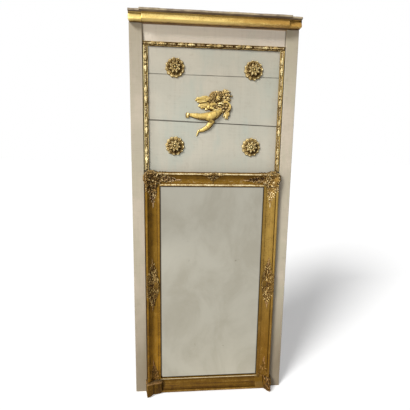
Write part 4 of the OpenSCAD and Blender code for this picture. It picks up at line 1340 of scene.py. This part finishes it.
class TRUMEAU_OT_putto(Piece, bpy.types.Operator):
    """Carves the flying putto"""

    bl_idname = "trumeau.putto"
    bl_label = "Putto"

    # Where the figure's zero is, and the corners of its carved field from there
    zero = (-26.0, 1492.0)
    low = (-112.0, -120.0)
    high = (116.0, 120.0)

    def execute(self, context):
        r = Relief(self.spot(*self.low), self.spot(*self.high), 0.8 * sizes().step / MM, board_ground)
        rng = hand(2)
        self.wing(r)
        self.bouquet(r, rng)
        self.body(r)
        self.drape(r, rng)
        self.head(r, rng)
        self.arms(r)
        carved("putto", r, carved_gilding(), 0.62, 0.42)
        return {"FINISHED"}

    def spot(self, x, z):
        return self.zero[0] + x, self.zero[1] + z

    def at(self, *points):
        return [self.spot(*p) for p in points]

    def spray(self, r, centre, count, inner, outer, start, sweep, rng, tones=(0.4, 0.95)):
        """Pointed petals that stand out round a centre."""
        for k in range(count):
            a = start + sweep * k / count + rng.uniform(-0.2, 0.2)
            way = np.array((math.cos(a), math.sin(a)))
            tip = outer * rng.uniform(0.8, 1.05)
            side = np.array((-way[1], way[0])) * rng.uniform(-3, 3)
            root = np.array(self.spot(*centre)) + way * inner
            r.ink(rng.uniform(*tones), 0.3)
            leaf(r, [root, root + way * 0.5 * (tip - inner) + side, root + way * (tip - inner)],
                 rng.uniform(2.4, 3.4), 6.0, rng.uniform(4, 9), 0, 0, 1.8)

    def wing(self, r):
        r.ink(0.05)
        rod(r, self.at((24, 48), (-8, 58), (-44, 58)), [21, 15, 9], [4, 4, 3], 0, 0.2)
        rod(r, self.at((24, 34), (-10, 38), (-38, 34)), [17, 14, 9], [4, 4, 3], 0, 0.2)
        upper = (((-30, 72), (-8, 71)), ((-55, 66), (-20, 67)), ((-61, 58), (-22, 61)),
                 ((-52, 50), (-20, 54)), ((-40, 44), (-14, 47)))
        lower = (((-42, 38), (-16, 41)), ((-46, 30), (-16, 34)), ((-35, 22), (-10, 28)), ((-14, 15), (0, 22)))
        for root, feathers, width in (((16, 56), upper, 7.6), ((14, 38), lower, 8.0)):
            for k, (tip, mid) in enumerate(feathers):
                r.ink(0.46 + 0.2 * (k % 2))
                rod(r, self.at(root, mid, tip), [4.5, width, width, 6.4],
                    [6, 6 + 0.5 * k, 5 + 0.4 * k], 1.5, 0.5)
                groove(r, self.at(root, mid, tip), 1.0, 2.0, 0.05)
        for k in range(8):
            x, z = 4 - 6 * (k % 4), 66 - 7 * (k // 4) - 3 * (k % 2)
            r.ink(0.4)
            leaf(r, self.at((x + 12, z - 2), (x + 4, z), (x - 4, z + 1)), 3.8, 4.0, 12.0, 0, 0, 2.2)
        groove(r, self.at((8, 52), (-22, 45), (-52, 39)), 1.6, 5.0, 0.1)

    def bouquet(self, r, rng):
        r.ink(0.0)
        rod(r, self.at((66, 54), (80, 76), (80, 92)), [20, 25, 19], [3, 4, 4], 0, 0.12)
        self.spray(r, (82, 80), 19, 8, 36, -1.2, 4.6, rng, (0.55, 1.0))
        self.spray(r, (80, 80), 15, 3, 25, -1.0, 5.9, rng, (-0.1, 1.0))
        self.spray(r, (72, 60), 13, 2, 19, -2.2, 6.0, rng, (-0.1, 0.95))
        for x, z, size in ((76, 97, 6), (92, 99, 6), (84, 84, 7), (98, 84, 6), (74, 72, 6), (90, 70, 5.5)):
            r.ink(rng.uniform(0.45, 0.95), 0.4)
            flower(r, self.spot(x, z), size, 5, 7.0, rng.uniform(8, 11), rng.uniform(0, 1.2))
            pit(r, self.spot(x + size, z - size), 2.8, 7)
            pit(r, self.spot(x - 0.9 * size, z + 0.8 * size), 2.0, 5)

    def drape(self, r, rng):
        r.ink(0.2)
        rod(r, self.at((52, 40), (66, 26), (78, 10)), [19, 18, 12], [10, 10, 5], 0, 0.1)
        rod(r, self.at((20, 34), (40, 28), (58, 30)), [14, 15, 14], [10, 11, 11], 0, 0.1)
        rod(r, self.at((72, 44), (92, 38), (96, 14), (88, -6)), [12, 14, 13, 9], [4, 6, 5, 3], 0, 0.3)
        r.ink(0.42)
        rod(r, self.at((74, 50), (90, 50), (102, 38)), [5, 6.5, 5], [7, 9, 7])
        rod(r, self.at((102, 40), (105, 26), (92, 8)), [6, 6.5, 6], [6, 8, 6])
        groove(r, self.at((84, 44), (98, 32), (96, 14)), 1.6, 3.0, 0.1)
        for x, z, size in ((60, 18, 7), (72, 10, 7), (56, 30, 6), (70, 26, 7), (84, 24, 6), (92, 10, 6),
                           (26, 30, 6), (38, 26, 6), (46, 20, 6), (34, 38, 6), (62, 48, 6), (22, 22, 5),
                           (80, -2, 5), (98, 24, 5), (88, 38, 6), (66, 2, 5)):
            r.ink(rng.uniform(0.35, 0.7), 0.6)
            base = rng.uniform(9, 13) - 0.06 * max(0, x - 70)
            flower(r, self.spot(x, z), size, 5, 7.0, base, rng.uniform(0, 1))
            pit(r, self.spot(x + 0.8 * size, z - 0.9 * size), 1.9, 4)
        self.spray(r, (64, 38), 9, 3, 15, -0.6, 4.0, rng, (0.3, 0.8))
        for x, z, w in ((70, -22, 6.5), (101, -17, 8), (81, -31, 7.5), (93, -33, 7), (88, -12, 8)):
            r.ink(rng.uniform(0.4, 0.85), 0.2)
            middle = (x + 87) / 2 + 0.05 * (x - 87)
            leaf(r, self.at((88, 6), (middle, z + 14), (x, z)), w, 6.5, 5.0, 0, 0, 3.2)

    def body(self, r):
        blend = 3.0
        r.ink(0.5)
        rod(r, self.at((15, -40), (5, -58), (-6, -71)), [17, 15, 12.5], [2, 3, 3], blend, 0.9)
        rod(r, self.at((-6, -71), (-28, -83), (-47, -89)), [12.5, 11, 7.0], [3, 3, 3], blend, 0.9)
        rod(r, self.at((-46, -87), (-53, -98), (-57, -112)), [6.5, 5, 2.6], [3, 3, 2], 1.5, 0.9)
        rod(r, self.at((10, -18), (-15, -19), (-38, -20)), [24, 19.5, 16], [3, 4, 4], blend, 0.85)
        rod(r, self.at((-37, -20), (-60, -17), (-87, -13)), [16, 14.6, 9.6], [4, 4, 4], blend, 0.85)
        rod(r, self.at((-87, -13), (-98, -13)), [9.2, 9.2], [4, 4], 2.0, 0.9)
        r.ink(0.1)
        rod(r, self.at((-105, -6), (-109, -15), (-107, -25)), [4.5, 4.5, 4], [4, 4, 3], 1.0, 0.9)
        r.ink(0.68)
        rod(r, self.at((-99, -8), (-101, -15), (-100, -23)), [6.5, 7, 5.5], [6, 6, 4], 2.0, 1.0)
        r.ink(0.48)
        rod(r, self.at((12, -20), (36, -6), (52, 8)), [24.5, 23, 18], [4, 5, 6], blend, 0.85)
        dome(r, self.spot(2, -24), 21, 18, 17, 5.0, 0.3, blend)
        # Creases of a plump child: groin, ankle, knee, waist
        groove(r, self.at((-18, -42), (2, -45), (20, -46)), 2.2, 7.0, 0.1)
        groove(r, self.at((-94, -4), (-93, -13), (-95, -22)), 1.6, 3.0)
        groove(r, self.at((-38, -31), (-46, -30), (-52, -28)), 1.4, 2.0)
        groove(r, self.at((-12, -62), (-5, -71), (0, -80)), 1.4, 2.2)
        groove(r, self.at((-42, -82), (-45, -88), (-45, -96)), 1.4, 2.4)
        groove(r, self.at((28, -34), (40, -16), (38, 2)), 1.6, 2.4)

    def arms(self, r):
        r.ink(0.45)
        rod(r, self.at((28, 38), (12, 34), (0, 26)), [9, 10.5, 10], [11, 12, 12], 2.0, 0.85)
        r.ink(0.55)
        rod(r, self.at((0, 25), (14, 18), (31, 11)), [10, 10, 8.5], [13, 16, 18], 1.5, 0.85)
        groove(r, self.at((4, 40), (6, 28), (2, 16)), 1.6, 4.0)
        groove(r, self.at((24, 19), (25, 12), (21, 3)), 1.2, 2.4)
        r.ink(0.75)
        dome(r, self.spot(35, 9), 8, 6.5, 5, 19, -0.1, 1.0)
        for k, (x, z) in enumerate(((46, 16), (50, 11), (49, 6), (45, 2))):
            rod(r, self.at((37, 12 - 2.2 * k + 1.5), (x, z)), [2.1, 1.6], [21, 19])
        r.ink(0.95)
        leaf(r, self.at((46, 42), (58, 43), (72, 36)), 5.5, 5, 17, 0, 0, 2)
        leaf(r, self.at((44, 33), (54, 34), (62, 28)), 4.0, 5, 16, 0, 0, 2)
        groove(r, self.at((50, 37), (62, 34), (72, 27)), 1.8, 7.0, 0.1)

    def head(self, r, rng):
        r.ink(0.0)
        dome(r, self.spot(33, 76), 34, 27, 11, 5.0, 0.25, 2.0)
        dome(r, self.spot(16, 54), 18, 18, 8, 6.0, 0.0, 2.0)
        r.ink(0.38)
        dome(r, self.spot(45, 66), 12.0, 14.5, 15, 15.0, 0.45, 2.0)
        tilt = 0.5

        def face(a, b):
            """A place on the face: a towards its side, b up, turned with the head."""
            c, s = math.cos(tilt), math.sin(tilt)
            return self.spot(46 + 0.9 * (c * a + s * b), 65 + 0.9 * (c * b - s * a))

        for side in (-1, 1):
            dome(r, face(side * 5.0, -4.5), 4.2, 3.8, 3.8, 26.5, 0, 1.5)
            groove(r, [face(side * 2.2, 2.2), face(side * 4.8, 2.8), face(side * 7.0, 1.8)], 1.6, 4.0, 0.16)
            rod(r, [face(side * 2, 4.8), face(side * 5, 5.8), face(side * 7.6, 4.4)], [1.2, 1.4, 1.0],
                [28, 28.4, 27], 1.0)
        r.ink(0.7)
        rod(r, [face(0, 4.0), face(0, 0), face(0, -2.6)], [1.4, 1.6, 2.3], [28.5, 29.8, 30.8], 0.8)
        rod(r, [face(-2.6, -7.0), face(0, -6.6), face(2.6, -7.0)], [0.9, 1.2, 0.9], [27.8, 28.6, 27.8], 0.5)
        groove(r, [face(-2.8, -8.1), face(0, -7.9), face(2.8, -8.1)], 0.8, 1.6)
        dome(r, face(0, -11.0), 3.4, 2.6, 3.0, 25.5, 0, 1.0)
        rows = ((29, 11, 0.5, 3.0, 9), (22, 11, 0.35, 3.9, 13), (15, 9, 0.3, 4.3, 18))
        for reach, count, start, sweep, height in rows:
            for k in range(count):
                a = start + sweep * k / (count - 1) + rng.uniform(-0.1, 0.1)
                x = 39 + 1.16 * reach * math.cos(a) + rng.uniform(-1.5, 1.5)
                z = 70 + reach * math.sin(a) + rng.uniform(-1.5, 1.5)
                self.curl(r, x, z, height, rng)
        for x, z in ((22, 57), (11, 60), (4, 52), (15, 47), (26, 48), (11, 41), (1, 62), (34, 52), (24, 40)):
            self.curl(r, x, z, 14.0, rng)

    def curl(self, r, x, z, height, rng):
        r.ink(rng.choice([0.08, 0.22, 0.4, 0.85], p=[0.3, 0.3, 0.25, 0.15]), 0.6)
        size = rng.uniform(4.4, 7.0)
        volute(r, self.spot(x, z), size, rng.uniform(0, 6.3), rng.choice([-1, 1]), 2.0, 5.0,
               height + rng.uniform(-1, 1), 1.0)
        pit(r, self.spot(x + 0.9 * size, z - 0.9 * size), 2.2, 5)


def frame_field(low, high, side, reach):
    """The carved field of a piece of the frame, from low to high and reach farther out on its side."""
    out = (-reach, 0) if side < 0 else (0, reach)
    return Relief((low[0] + out[0], low[1]), (high[0] + out[1], high[1]), sizes().step / MM, frame_ground)


def placed(place):
    """Puts any number of points where place puts one."""
    return lambda *points: [place(*p) for p in points]


def leafy_corner(r, place, rng, pale):
    """A rounded shell at the corner with scrolls, and sprays of leaves that run out along both rails.

    pale is how much brighter the upright spray and the shell are. With it the level spray is duller, the
    leaves of both sprays are flatter, and the hollows of the upright one are shallower.
    """
    at = placed(place)

    def aim(a, b):
        o, p = np.array(place(0, 0)), np.array(place(a, b))
        return math.atan2(*(p - o)[::-1])

    centre = np.array(place(29, 31))
    out = aim(-1, -0.95)

    def spot(reach, turn):
        return centre + reach * np.array((math.cos(out + turn), math.sin(out + turn)))

    r.ink(0.1)
    rod(r, at((26, 30), (36, 40)), [36, 32], [2.0, 2.0], 0, 0.08)
    for swap in (False, True):
        def arm(a, b):
            return place(b, a) if swap else place(a, b)

        glow = 1.2 * pale if swap else 0.09 - 1.1 * pale
        depth = 5 - 38 * pale if swap else 5
        r.ink(0.1 + 7 * glow if swap else 0.1 + 3 * glow)
        rod(r, [arm(50, 33), arm(100, 34), arm(150, 37)], [22, 15, 4], [0.8, 0.8, 0.5], 0, 0.05)
        foliage(r, arm, 60, 162, (20, 17, 11, 4), (31, 34, 37, 38), rng, 11.5, 4.0 - 12 * pale,
                0.36 + 2 * glow, 0.8 - (5 * pale if swap else 0), 0.0 if swap and pale else 1.6)
        r.ink(0.62 + glow, 0.2 if swap and pale else 0.9)
        leaf(r, [arm(148, 38), arm(162, 39), arm(184, 37)], 3.6, 3.5, 1.2, 3, 0.3, 1.0)
        for a, b, size, turn in ((66, 12, 8.5, 1), (84, 11, 6, -1), (70, 52, 9, -1), (100, 44, 7, 1)):
            r.ink(0.4 + glow, 0.3)
            start = aim(-1, 0) + rng.uniform(-0.6, 0.6)
            volute(r, arm(a, b), size, start, -turn if swap else turn, 2.4, 5, 3.2)
            pit(r, arm(a + 0.45 * size, b + 0.5 * size), 2.4, depth)
        for k, a in enumerate((64, 78, 90)):
            r.ink(0.32 + glow, 0.2)
            leaf(r, [arm(a, 10), arm(a + 4, 3), arm(a + 11, -3 + k)], 3.8, 5, 4, 0, 0, 1.2)
    # The shell: a round boss with two bands that follow its rim and curl in at their ends
    r.ink(0.24 + pale, 0.0)
    dome(r, centre, 41, 41, 12, 3.5)
    for reach, width, tone, half in ((35.5, 4.6, 0.28, 1.75), (24.0, 4.0, 0.26, 1.9)):
        r.ink(tone + pale, 0.0 if pale else 0.2)
        band = [spot(reach + rng.uniform(-1, 1), t) for t in np.linspace(-half, half, 11)]
        heights = 8 + 0.24 * (41 - reach) + np.r_[0, rng.uniform(-1, 1, 9), 0]
        rod(r, band, width * np.r_[0.6, rng.uniform(0.85, 1.15, 9), 0.6], heights)
        for k in range(7):
            t = half * (k - 3) / 3.3 + rng.uniform(-0.08, 0.08)
            groove(r, [spot(reach - 5, t), spot(reach + 5, t + rng.uniform(-0.12, 0.12))], 1.8, 5.0, 0.14)
    for k in range(8):
        t = (k - 3.5) * 0.5 + rng.uniform(-0.1, 0.1)
        pit(r, spot(29.8, t), rng.uniform(2.2, 3.2), 6)
        r.ink(rng.uniform(0.35, 0.8), 0.0)
        dome(r, spot(40 + rng.uniform(-1.5, 1), t + 0.25), 4.2, 3.4, 4.5, 5, t)
    for a, b, size, turn in ((56, 30, 10.5, 1), (32, 58, 10.5, -1), (54, 54, 10, 1), (30, 32, 12.5, -1)):
        r.ink(0.36 + pale, 0.1)
        volute(r, place(a, b), size, out + turn, turn, 2.8, 6.5, 8)
        pit(r, place(a + 0.5 * size, b - 0.6 * size), 2.8, 6)
        r.ink(rng.uniform(0.7, 1.0), 0.1)
        dome(r, place(a - 0.3 * size, b - 0.7 * size), 2.6, 2.2, 4, 12)
    for k in range(24):
        a, b = 38 + rng.uniform(-30, 30), 38 + rng.uniform(-30, 30)
        turn = rng.uniform(0, 6.3)
        r.ink(rng.uniform(0.2, 0.7) + pale, 0.1)
        way = 6 * np.array((math.cos(turn), math.sin(turn)))
        base = r.over_bed(place(a, b)) - 1.5
        leaf(r, at((a - way[0], b - way[1]), (a + 2, b), (a + way[0], b + way[1])), 3.2, 5, base, 0, 0, 1.8)
        pit(r, place(a + way[1], b - way[0]), 1.8, 4)


class TRUMEAU_OT_corner_ornaments(Piece, bpy.types.Operator):
    """Carves the leafy ornaments on the upper corners of the mirror frame"""

    bl_idname = "trumeau.corner_ornaments"
    bl_label = "Corner Ornaments"

    def execute(self, context):
        for n, (node, side) in enumerate((("top_left_ornament", -1), ("top_right_ornament", 1))):
            low, high = box(node)
            r = frame_field((low.x, low.z), (high.x, high.z + 5), side, 8.0)
            leafy_corner(r, lambda a, b: (side * (FRAME_HALF - a), FRAME_HIGH - b), hand(10 + n), 0.08 * n)
            carved(node, r, cast_gilding(), 0.45)
        return {"FINISHED"}


class TRUMEAU_OT_foot_ornaments(Piece, bpy.types.Operator):
    """Carves the worn ears and leaves on the lower corners of the mirror frame"""

    bl_idname = "trumeau.foot_ornaments"
    bl_label = "Foot Ornaments"

    def execute(self, context):
        for n, (node, side) in enumerate((("bottom_left_ornament", -1), ("bottom_right_ornament", 1))):
            low, high = box(node)
            r = frame_field((low.x, 0.6), (high.x, high.z), side, 6.0)
            self.foot(r, lambda a, b: (side * (FRAME_HALF - a), FRAME_LOW + b), hand(20 + n), side)
            carved(node, r, foot_gilding(), 0.15)
        return {"FINISHED"}

    def foot(self, r, place, rng, side):
        left = side < 0
        self.upright_leaves(r, place, rng, 1.6 if left else 0.7)
        self.ear(r, FRAME_HALF - side * r.x, r.z - FRAME_LOW, left)
        if not left:
            self.worn_leaves(r, place, rng)
        r.h = np.minimum(r.h, BOARD_Y + FORWARD)

    def upright_leaves(self, r, place, rng, bare):
        """The spray of leaves that climbs the side rail. bare is how far it is rubbed."""
        at = placed(place)
        r.ink(0.45)
        rod(r, at((36, 60), (36, 100), (34, 150)), [26, 20, 5], [0.6, 0.6, 0.4], 0, 0.05)
        foliage(r, lambda u, v: place(v, u), 58, 160, (24, 17, 9, 4), (36, 36, 34, 32), rng, 11, 2.2, 0.36,
                0.7, bare)
        r.ink(0.6, 0.6)
        leaf(r, at((33, 150), (32, 168), (29, 188)), 4.2, 3.5, 1.5, 3, 0.3, 1.0)

    def ear(self, r, a, b, left):
        """Flat faces drawn down to a tip at the outer corner, a inwards and b up from it.

        On the left they meet in an upright edge under a ledge. The right ear has lost its inner face, and
        a low plate follows the rail there.
        """
        notch = 4 if left else 0
        under = np.interp(a, [-12, 12, 20, 30, 36, 74, 80], [-6, -5.6, -2.4, notch, 1, 0, 24])
        crown = np.interp(a, [-12, 20, 44, 78], [66, 65, 64, 62])
        wall = np.minimum(np.minimum(b - under, crown - b), a + 11)
        whole = np.minimum(wall, 78 - a)
        if left:
            wall = whole
            face = np.interp(a, [-12, 4, 30, 37, 39, 78], [54, 60, 54, 47, 51, 40])
        else:
            r.ink(0.56)
            r.lay(r.all, np.full(r.x.shape, 2.0), whole)
            wall = np.minimum(wall, 34 - a)
            face = np.interp(a, [-12, 4, 18, 34], [52, 57, 50, 35])
        flare = np.clip(1 - b / 46, 0, 1) ** 1.5 * np.interp(a, [-12, 18, 40], [10, 8, 0])
        face = face + flare - np.clip(b - 36, 0, None) * 0.2 - r.bed
        r.ink(0.22, 0.0)
        r.lay(r.all, face, wall * 1.6)
        if left:
            ridge = np.exp(-(((b - crown + 2.5) / 1.4) ** 2))
            r.ink(0.4, 0.6)
            r.lay(r.all, face + 2.0 * ridge, np.where(ridge > 0.35, wall + 1.0, -9.0))
        else:
            spread = np.arctan2(b + 14, a + 8)
            flutes = 0.9 * (1 - np.cos(spread * 34))
            r.cut(r.all, np.where((b < crown - 5) & (a < 34), flutes, 0.0), -0.03)

    def worn_leaves(self, r, place, rng):
        """Leaves that run down over the corner to its tip."""
        at = placed(place)
        count = 30
        for k in range(count):
            drop = k / (count - 1)
            root = np.array((24 - 22 * drop, 68 - 66 * drop))
            root = root + rng.uniform(-14, 14, 2) * (1.1 - 0.7 * drop)
            way = rng.uniform((-9, -12), (1, -4))
            r.ink(rng.uniform(-0.1, 0.6), 0.5)
            base = r.over_bed(place(*np.maximum(root, 1))) - rng.uniform(0.5, 1.5)
            leaf(r, at(root - 0.8 * way, root, root + way), 3.4, 4.5, base, 0, 0, 1.8)
            pit(r, place(*(root + way[::-1] * (0.5, -0.5))), 2.2, 4)


class TRUMEAU_OT_side_ornaments(Piece, bpy.types.Operator):
    """Carves the long leaf ornaments on the sides of the mirror frame"""

    bl_idname = "trumeau.side_ornaments"
    bl_label = "Side Ornaments"

    def execute(self, context):
        for n, (node, side) in enumerate((("left_side_ornament", -1), ("right_side_ornament", 1))):
            low, high = box(node)
            middle = (low.z + high.z) / 2
            r = frame_field((low.x, low.z), (high.x, high.z), side, 0.0)
            self.spray(r, lambda a, b: (side * (FRAME_HALF - a), middle + b), hand(30 + n))
            # Darker towards the outer edge
            r.tone += np.interp(FRAME_HALF - np.abs(r.x), [6, 24], [-0.2, 0.02 * n])
            carved(node, r, worn_gilding(), 0.3)
        return {"FINISHED"}

    def spray(self, r, place, rng):
        r.ink(0.3)
        rod(r, placed(place)((34, -112), (33, -60), (33, 0), (33, 60), (34, 112)), [6, 23, 31, 23, 6],
            [0.8, 1.0, 0.8], 0, 0.05)
        for up in (-1, 1):
            def arm(u, v):
                return place(v, up * u)

            foliage(r, arm, 4, 122, (28, 25, 19, 9, 4), (34, 34, 33, 33, 32), rng, 12, 4.2, 0.42)
            r.ink(0.5, 0.7)
            leaf(r, [arm(96, 33), arm(118, 32), arm(147, 30)], 5.0, 4.0, 1.2, 4, 0.35, 1.4)
            for k in range(5):
                r.ink(0.36, 0.2)
                b = 6 + 12 * k
                leaf(r, [arm(b, 10), arm(b + 3, 3), arm(b + 8, -3.5)], 3.6, 6, 4, 0, 0, 1.3)
                pit(r, arm(b - 4, 8), 2.2, 5)
            for b, a, size, turn in ((16, 18, 9, 1), (40, 16, 8, -1), (38, 50, 8, 1), (60, 22, 7, 1)):
                r.ink(0.42, 0.2)
                volute(r, arm(b, a), size, rng.uniform(0, 6.2), turn * up, 2.2, 5, 3.2)
                pit(r, arm(b + 0.5 * size, a + 0.5 * size), 2.4, 5)
        r.ink(0.36, 0.0)
        dome(r, place(50, -4), 12, 21, 5, 4)
        r.ink(0.4, 0.3)
        for k in range(12):
            t = 2 * math.pi * k / 12
            dome(r, place(50 + 13.5 * math.cos(t), -4 + 23 * math.sin(t)), 2.8, 2.8, 4.5, 3)


class TRUMEAU_OT_centre_ornament(Piece, bpy.types.Operator):
    """Carves the cluster in the middle of the top rail"""

    bl_idname = "trumeau.centre_ornament"
    bl_label = "Centre Ornament"

    def execute(self, context):
        node = "top_centre_ornament"
        low, high = box(node)
        r = Relief((low.x - 16, low.z), (high.x + 16, high.z + 3), 0.9 * sizes().step / MM, frame_ground)
        rng = hand(40)
        at = placed(lambda a, b: (a, FRAME_HIGH - b))

        r.ink(0.0)
        rod(r, at((-50, 10), (-20, 15), (0, 19), (20, 15), (50, 10)), [5, 13, 18, 13, 5], [1, 1], 0, 0.06)
        rod(r, at((0, 24), (0, 40)), [14, 5], [1, 1], 0, 0.06)
        for side in (-1, 1):
            r.ink(0.5, 0.1)
            leaf(r, at((side * 6, 14), (side * 30, 13), (side * 59, 10)), 5.6, 7, 3, 6, 0.35, 2.4)
            leaf(r, at((side * 5, 24), (side * 18, 27), (side * 31, 22)), 4.5, 6, 3, 4, 0.3, 1.8)
            leaf(r, at((side * 2, 28), (side * 8, 37), (side * 13, 42)), 3.5, 5, 3, 3, 0.3, 1.3)
            r.ink(1.0, 0.1)
            volute(r, at((side * 14, 6))[0], 6.0, 1.2, side, 2.4, 6, 5)
            volute(r, at((side * 28, 7))[0], 5.0, 2.2, -side, 2.2, 5, 5)
            leaf(r, at((side * 30, 8), (side * 38, 5), (side * 47, 6)), 3.0, 5, 5, 0, 0, 1.0)
            r.ink(0.4)
            volute(r, at((side * 24, 19))[0], 5.0, 2.2, -side, 1.8, 4, 3)
            for k in range(4):
                pit(r, at((side * (6 + 8 * k), 15 + (k % 2) * 5))[0], 2.4, 6)
        r.ink(0.16, 0.1)
        fan(r, at((0, 24))[0], math.pi / 2, 1.25, 5, 23, 7, 8, 5)
        r.ink(0.22, 0.2)
        leaf(r, at((0, 24), (0, 36), (0, 46)), 4.5, 6, 4, 3, 0.3, 1.8)
        dome(r, at((0, 50))[0], 3.2, 3.2, 5, 3)
        r.ink(0.28, 0.1)
        flower(r, at((0, 21))[0], 8.0, 5, 6, 9, rng.uniform(0, 1))
        carved(node, r, cast_gilding())
        return {"FINISHED"}


PIECES = (
    TRUMEAU_OT_stage, TRUMEAU_OT_carcase, TRUMEAU_OT_back, TRUMEAU_OT_cornice, TRUMEAU_OT_mirror_frame,
    TRUMEAU_OT_glass, TRUMEAU_OT_fasteners, TRUMEAU_OT_border, TRUMEAU_OT_rosettes, TRUMEAU_OT_putto,
    TRUMEAU_OT_corner_ornaments, TRUMEAU_OT_foot_ornaments, TRUMEAU_OT_side_ornaments,
    TRUMEAU_OT_centre_ornament,
)


class TRUMEAU_PT_panel(bpy.types.Panel):
    """Lists the pieces, sizes and finishes"""

    bl_label = "Trumeau Mirror"
    bl_idname = "TRUMEAU_PT_panel"
    bl_space_type = "VIEW_3D"
    bl_region_type = "UI"
    bl_category = "Trumeau"

    def draw(self, context):
        for piece in PIECES:
            self.layout.operator(piece.bl_idname)
        for group in (sizes(), finishes(), studio()):
            column = self.layout.column()
            for key in group.bl_rna.properties.keys():
                if key not in ("rna_type", "name"):
                    column.prop(group, key)


GROUPS = (CarvingSizes, Finishes, Studio)


def register():
    for cls in GROUPS + PIECES + (TRUMEAU_PT_panel,):
        bpy.utils.register_class(cls)
    bpy.types.Scene.trumeau_sizes = bpy.props.PointerProperty(type=CarvingSizes)
    bpy.types.Scene.trumeau_finishes = bpy.props.PointerProperty(type=Finishes)
    bpy.types.Scene.trumeau_studio = bpy.props.PointerProperty(type=Studio)


def unregister():
    del bpy.types.Scene.trumeau_studio
    del bpy.types.Scene.trumeau_finishes
    del bpy.types.Scene.trumeau_sizes
    for cls in reversed(GROUPS + PIECES + (TRUMEAU_PT_panel,)):
        bpy.utils.unregister_class(cls)


def main():
    register()
    for piece in PIECES:
        space, name = piece.bl_idname.split(".")
        getattr(getattr(bpy.ops, space), name)()


if __name__ == "__main__":
    main()
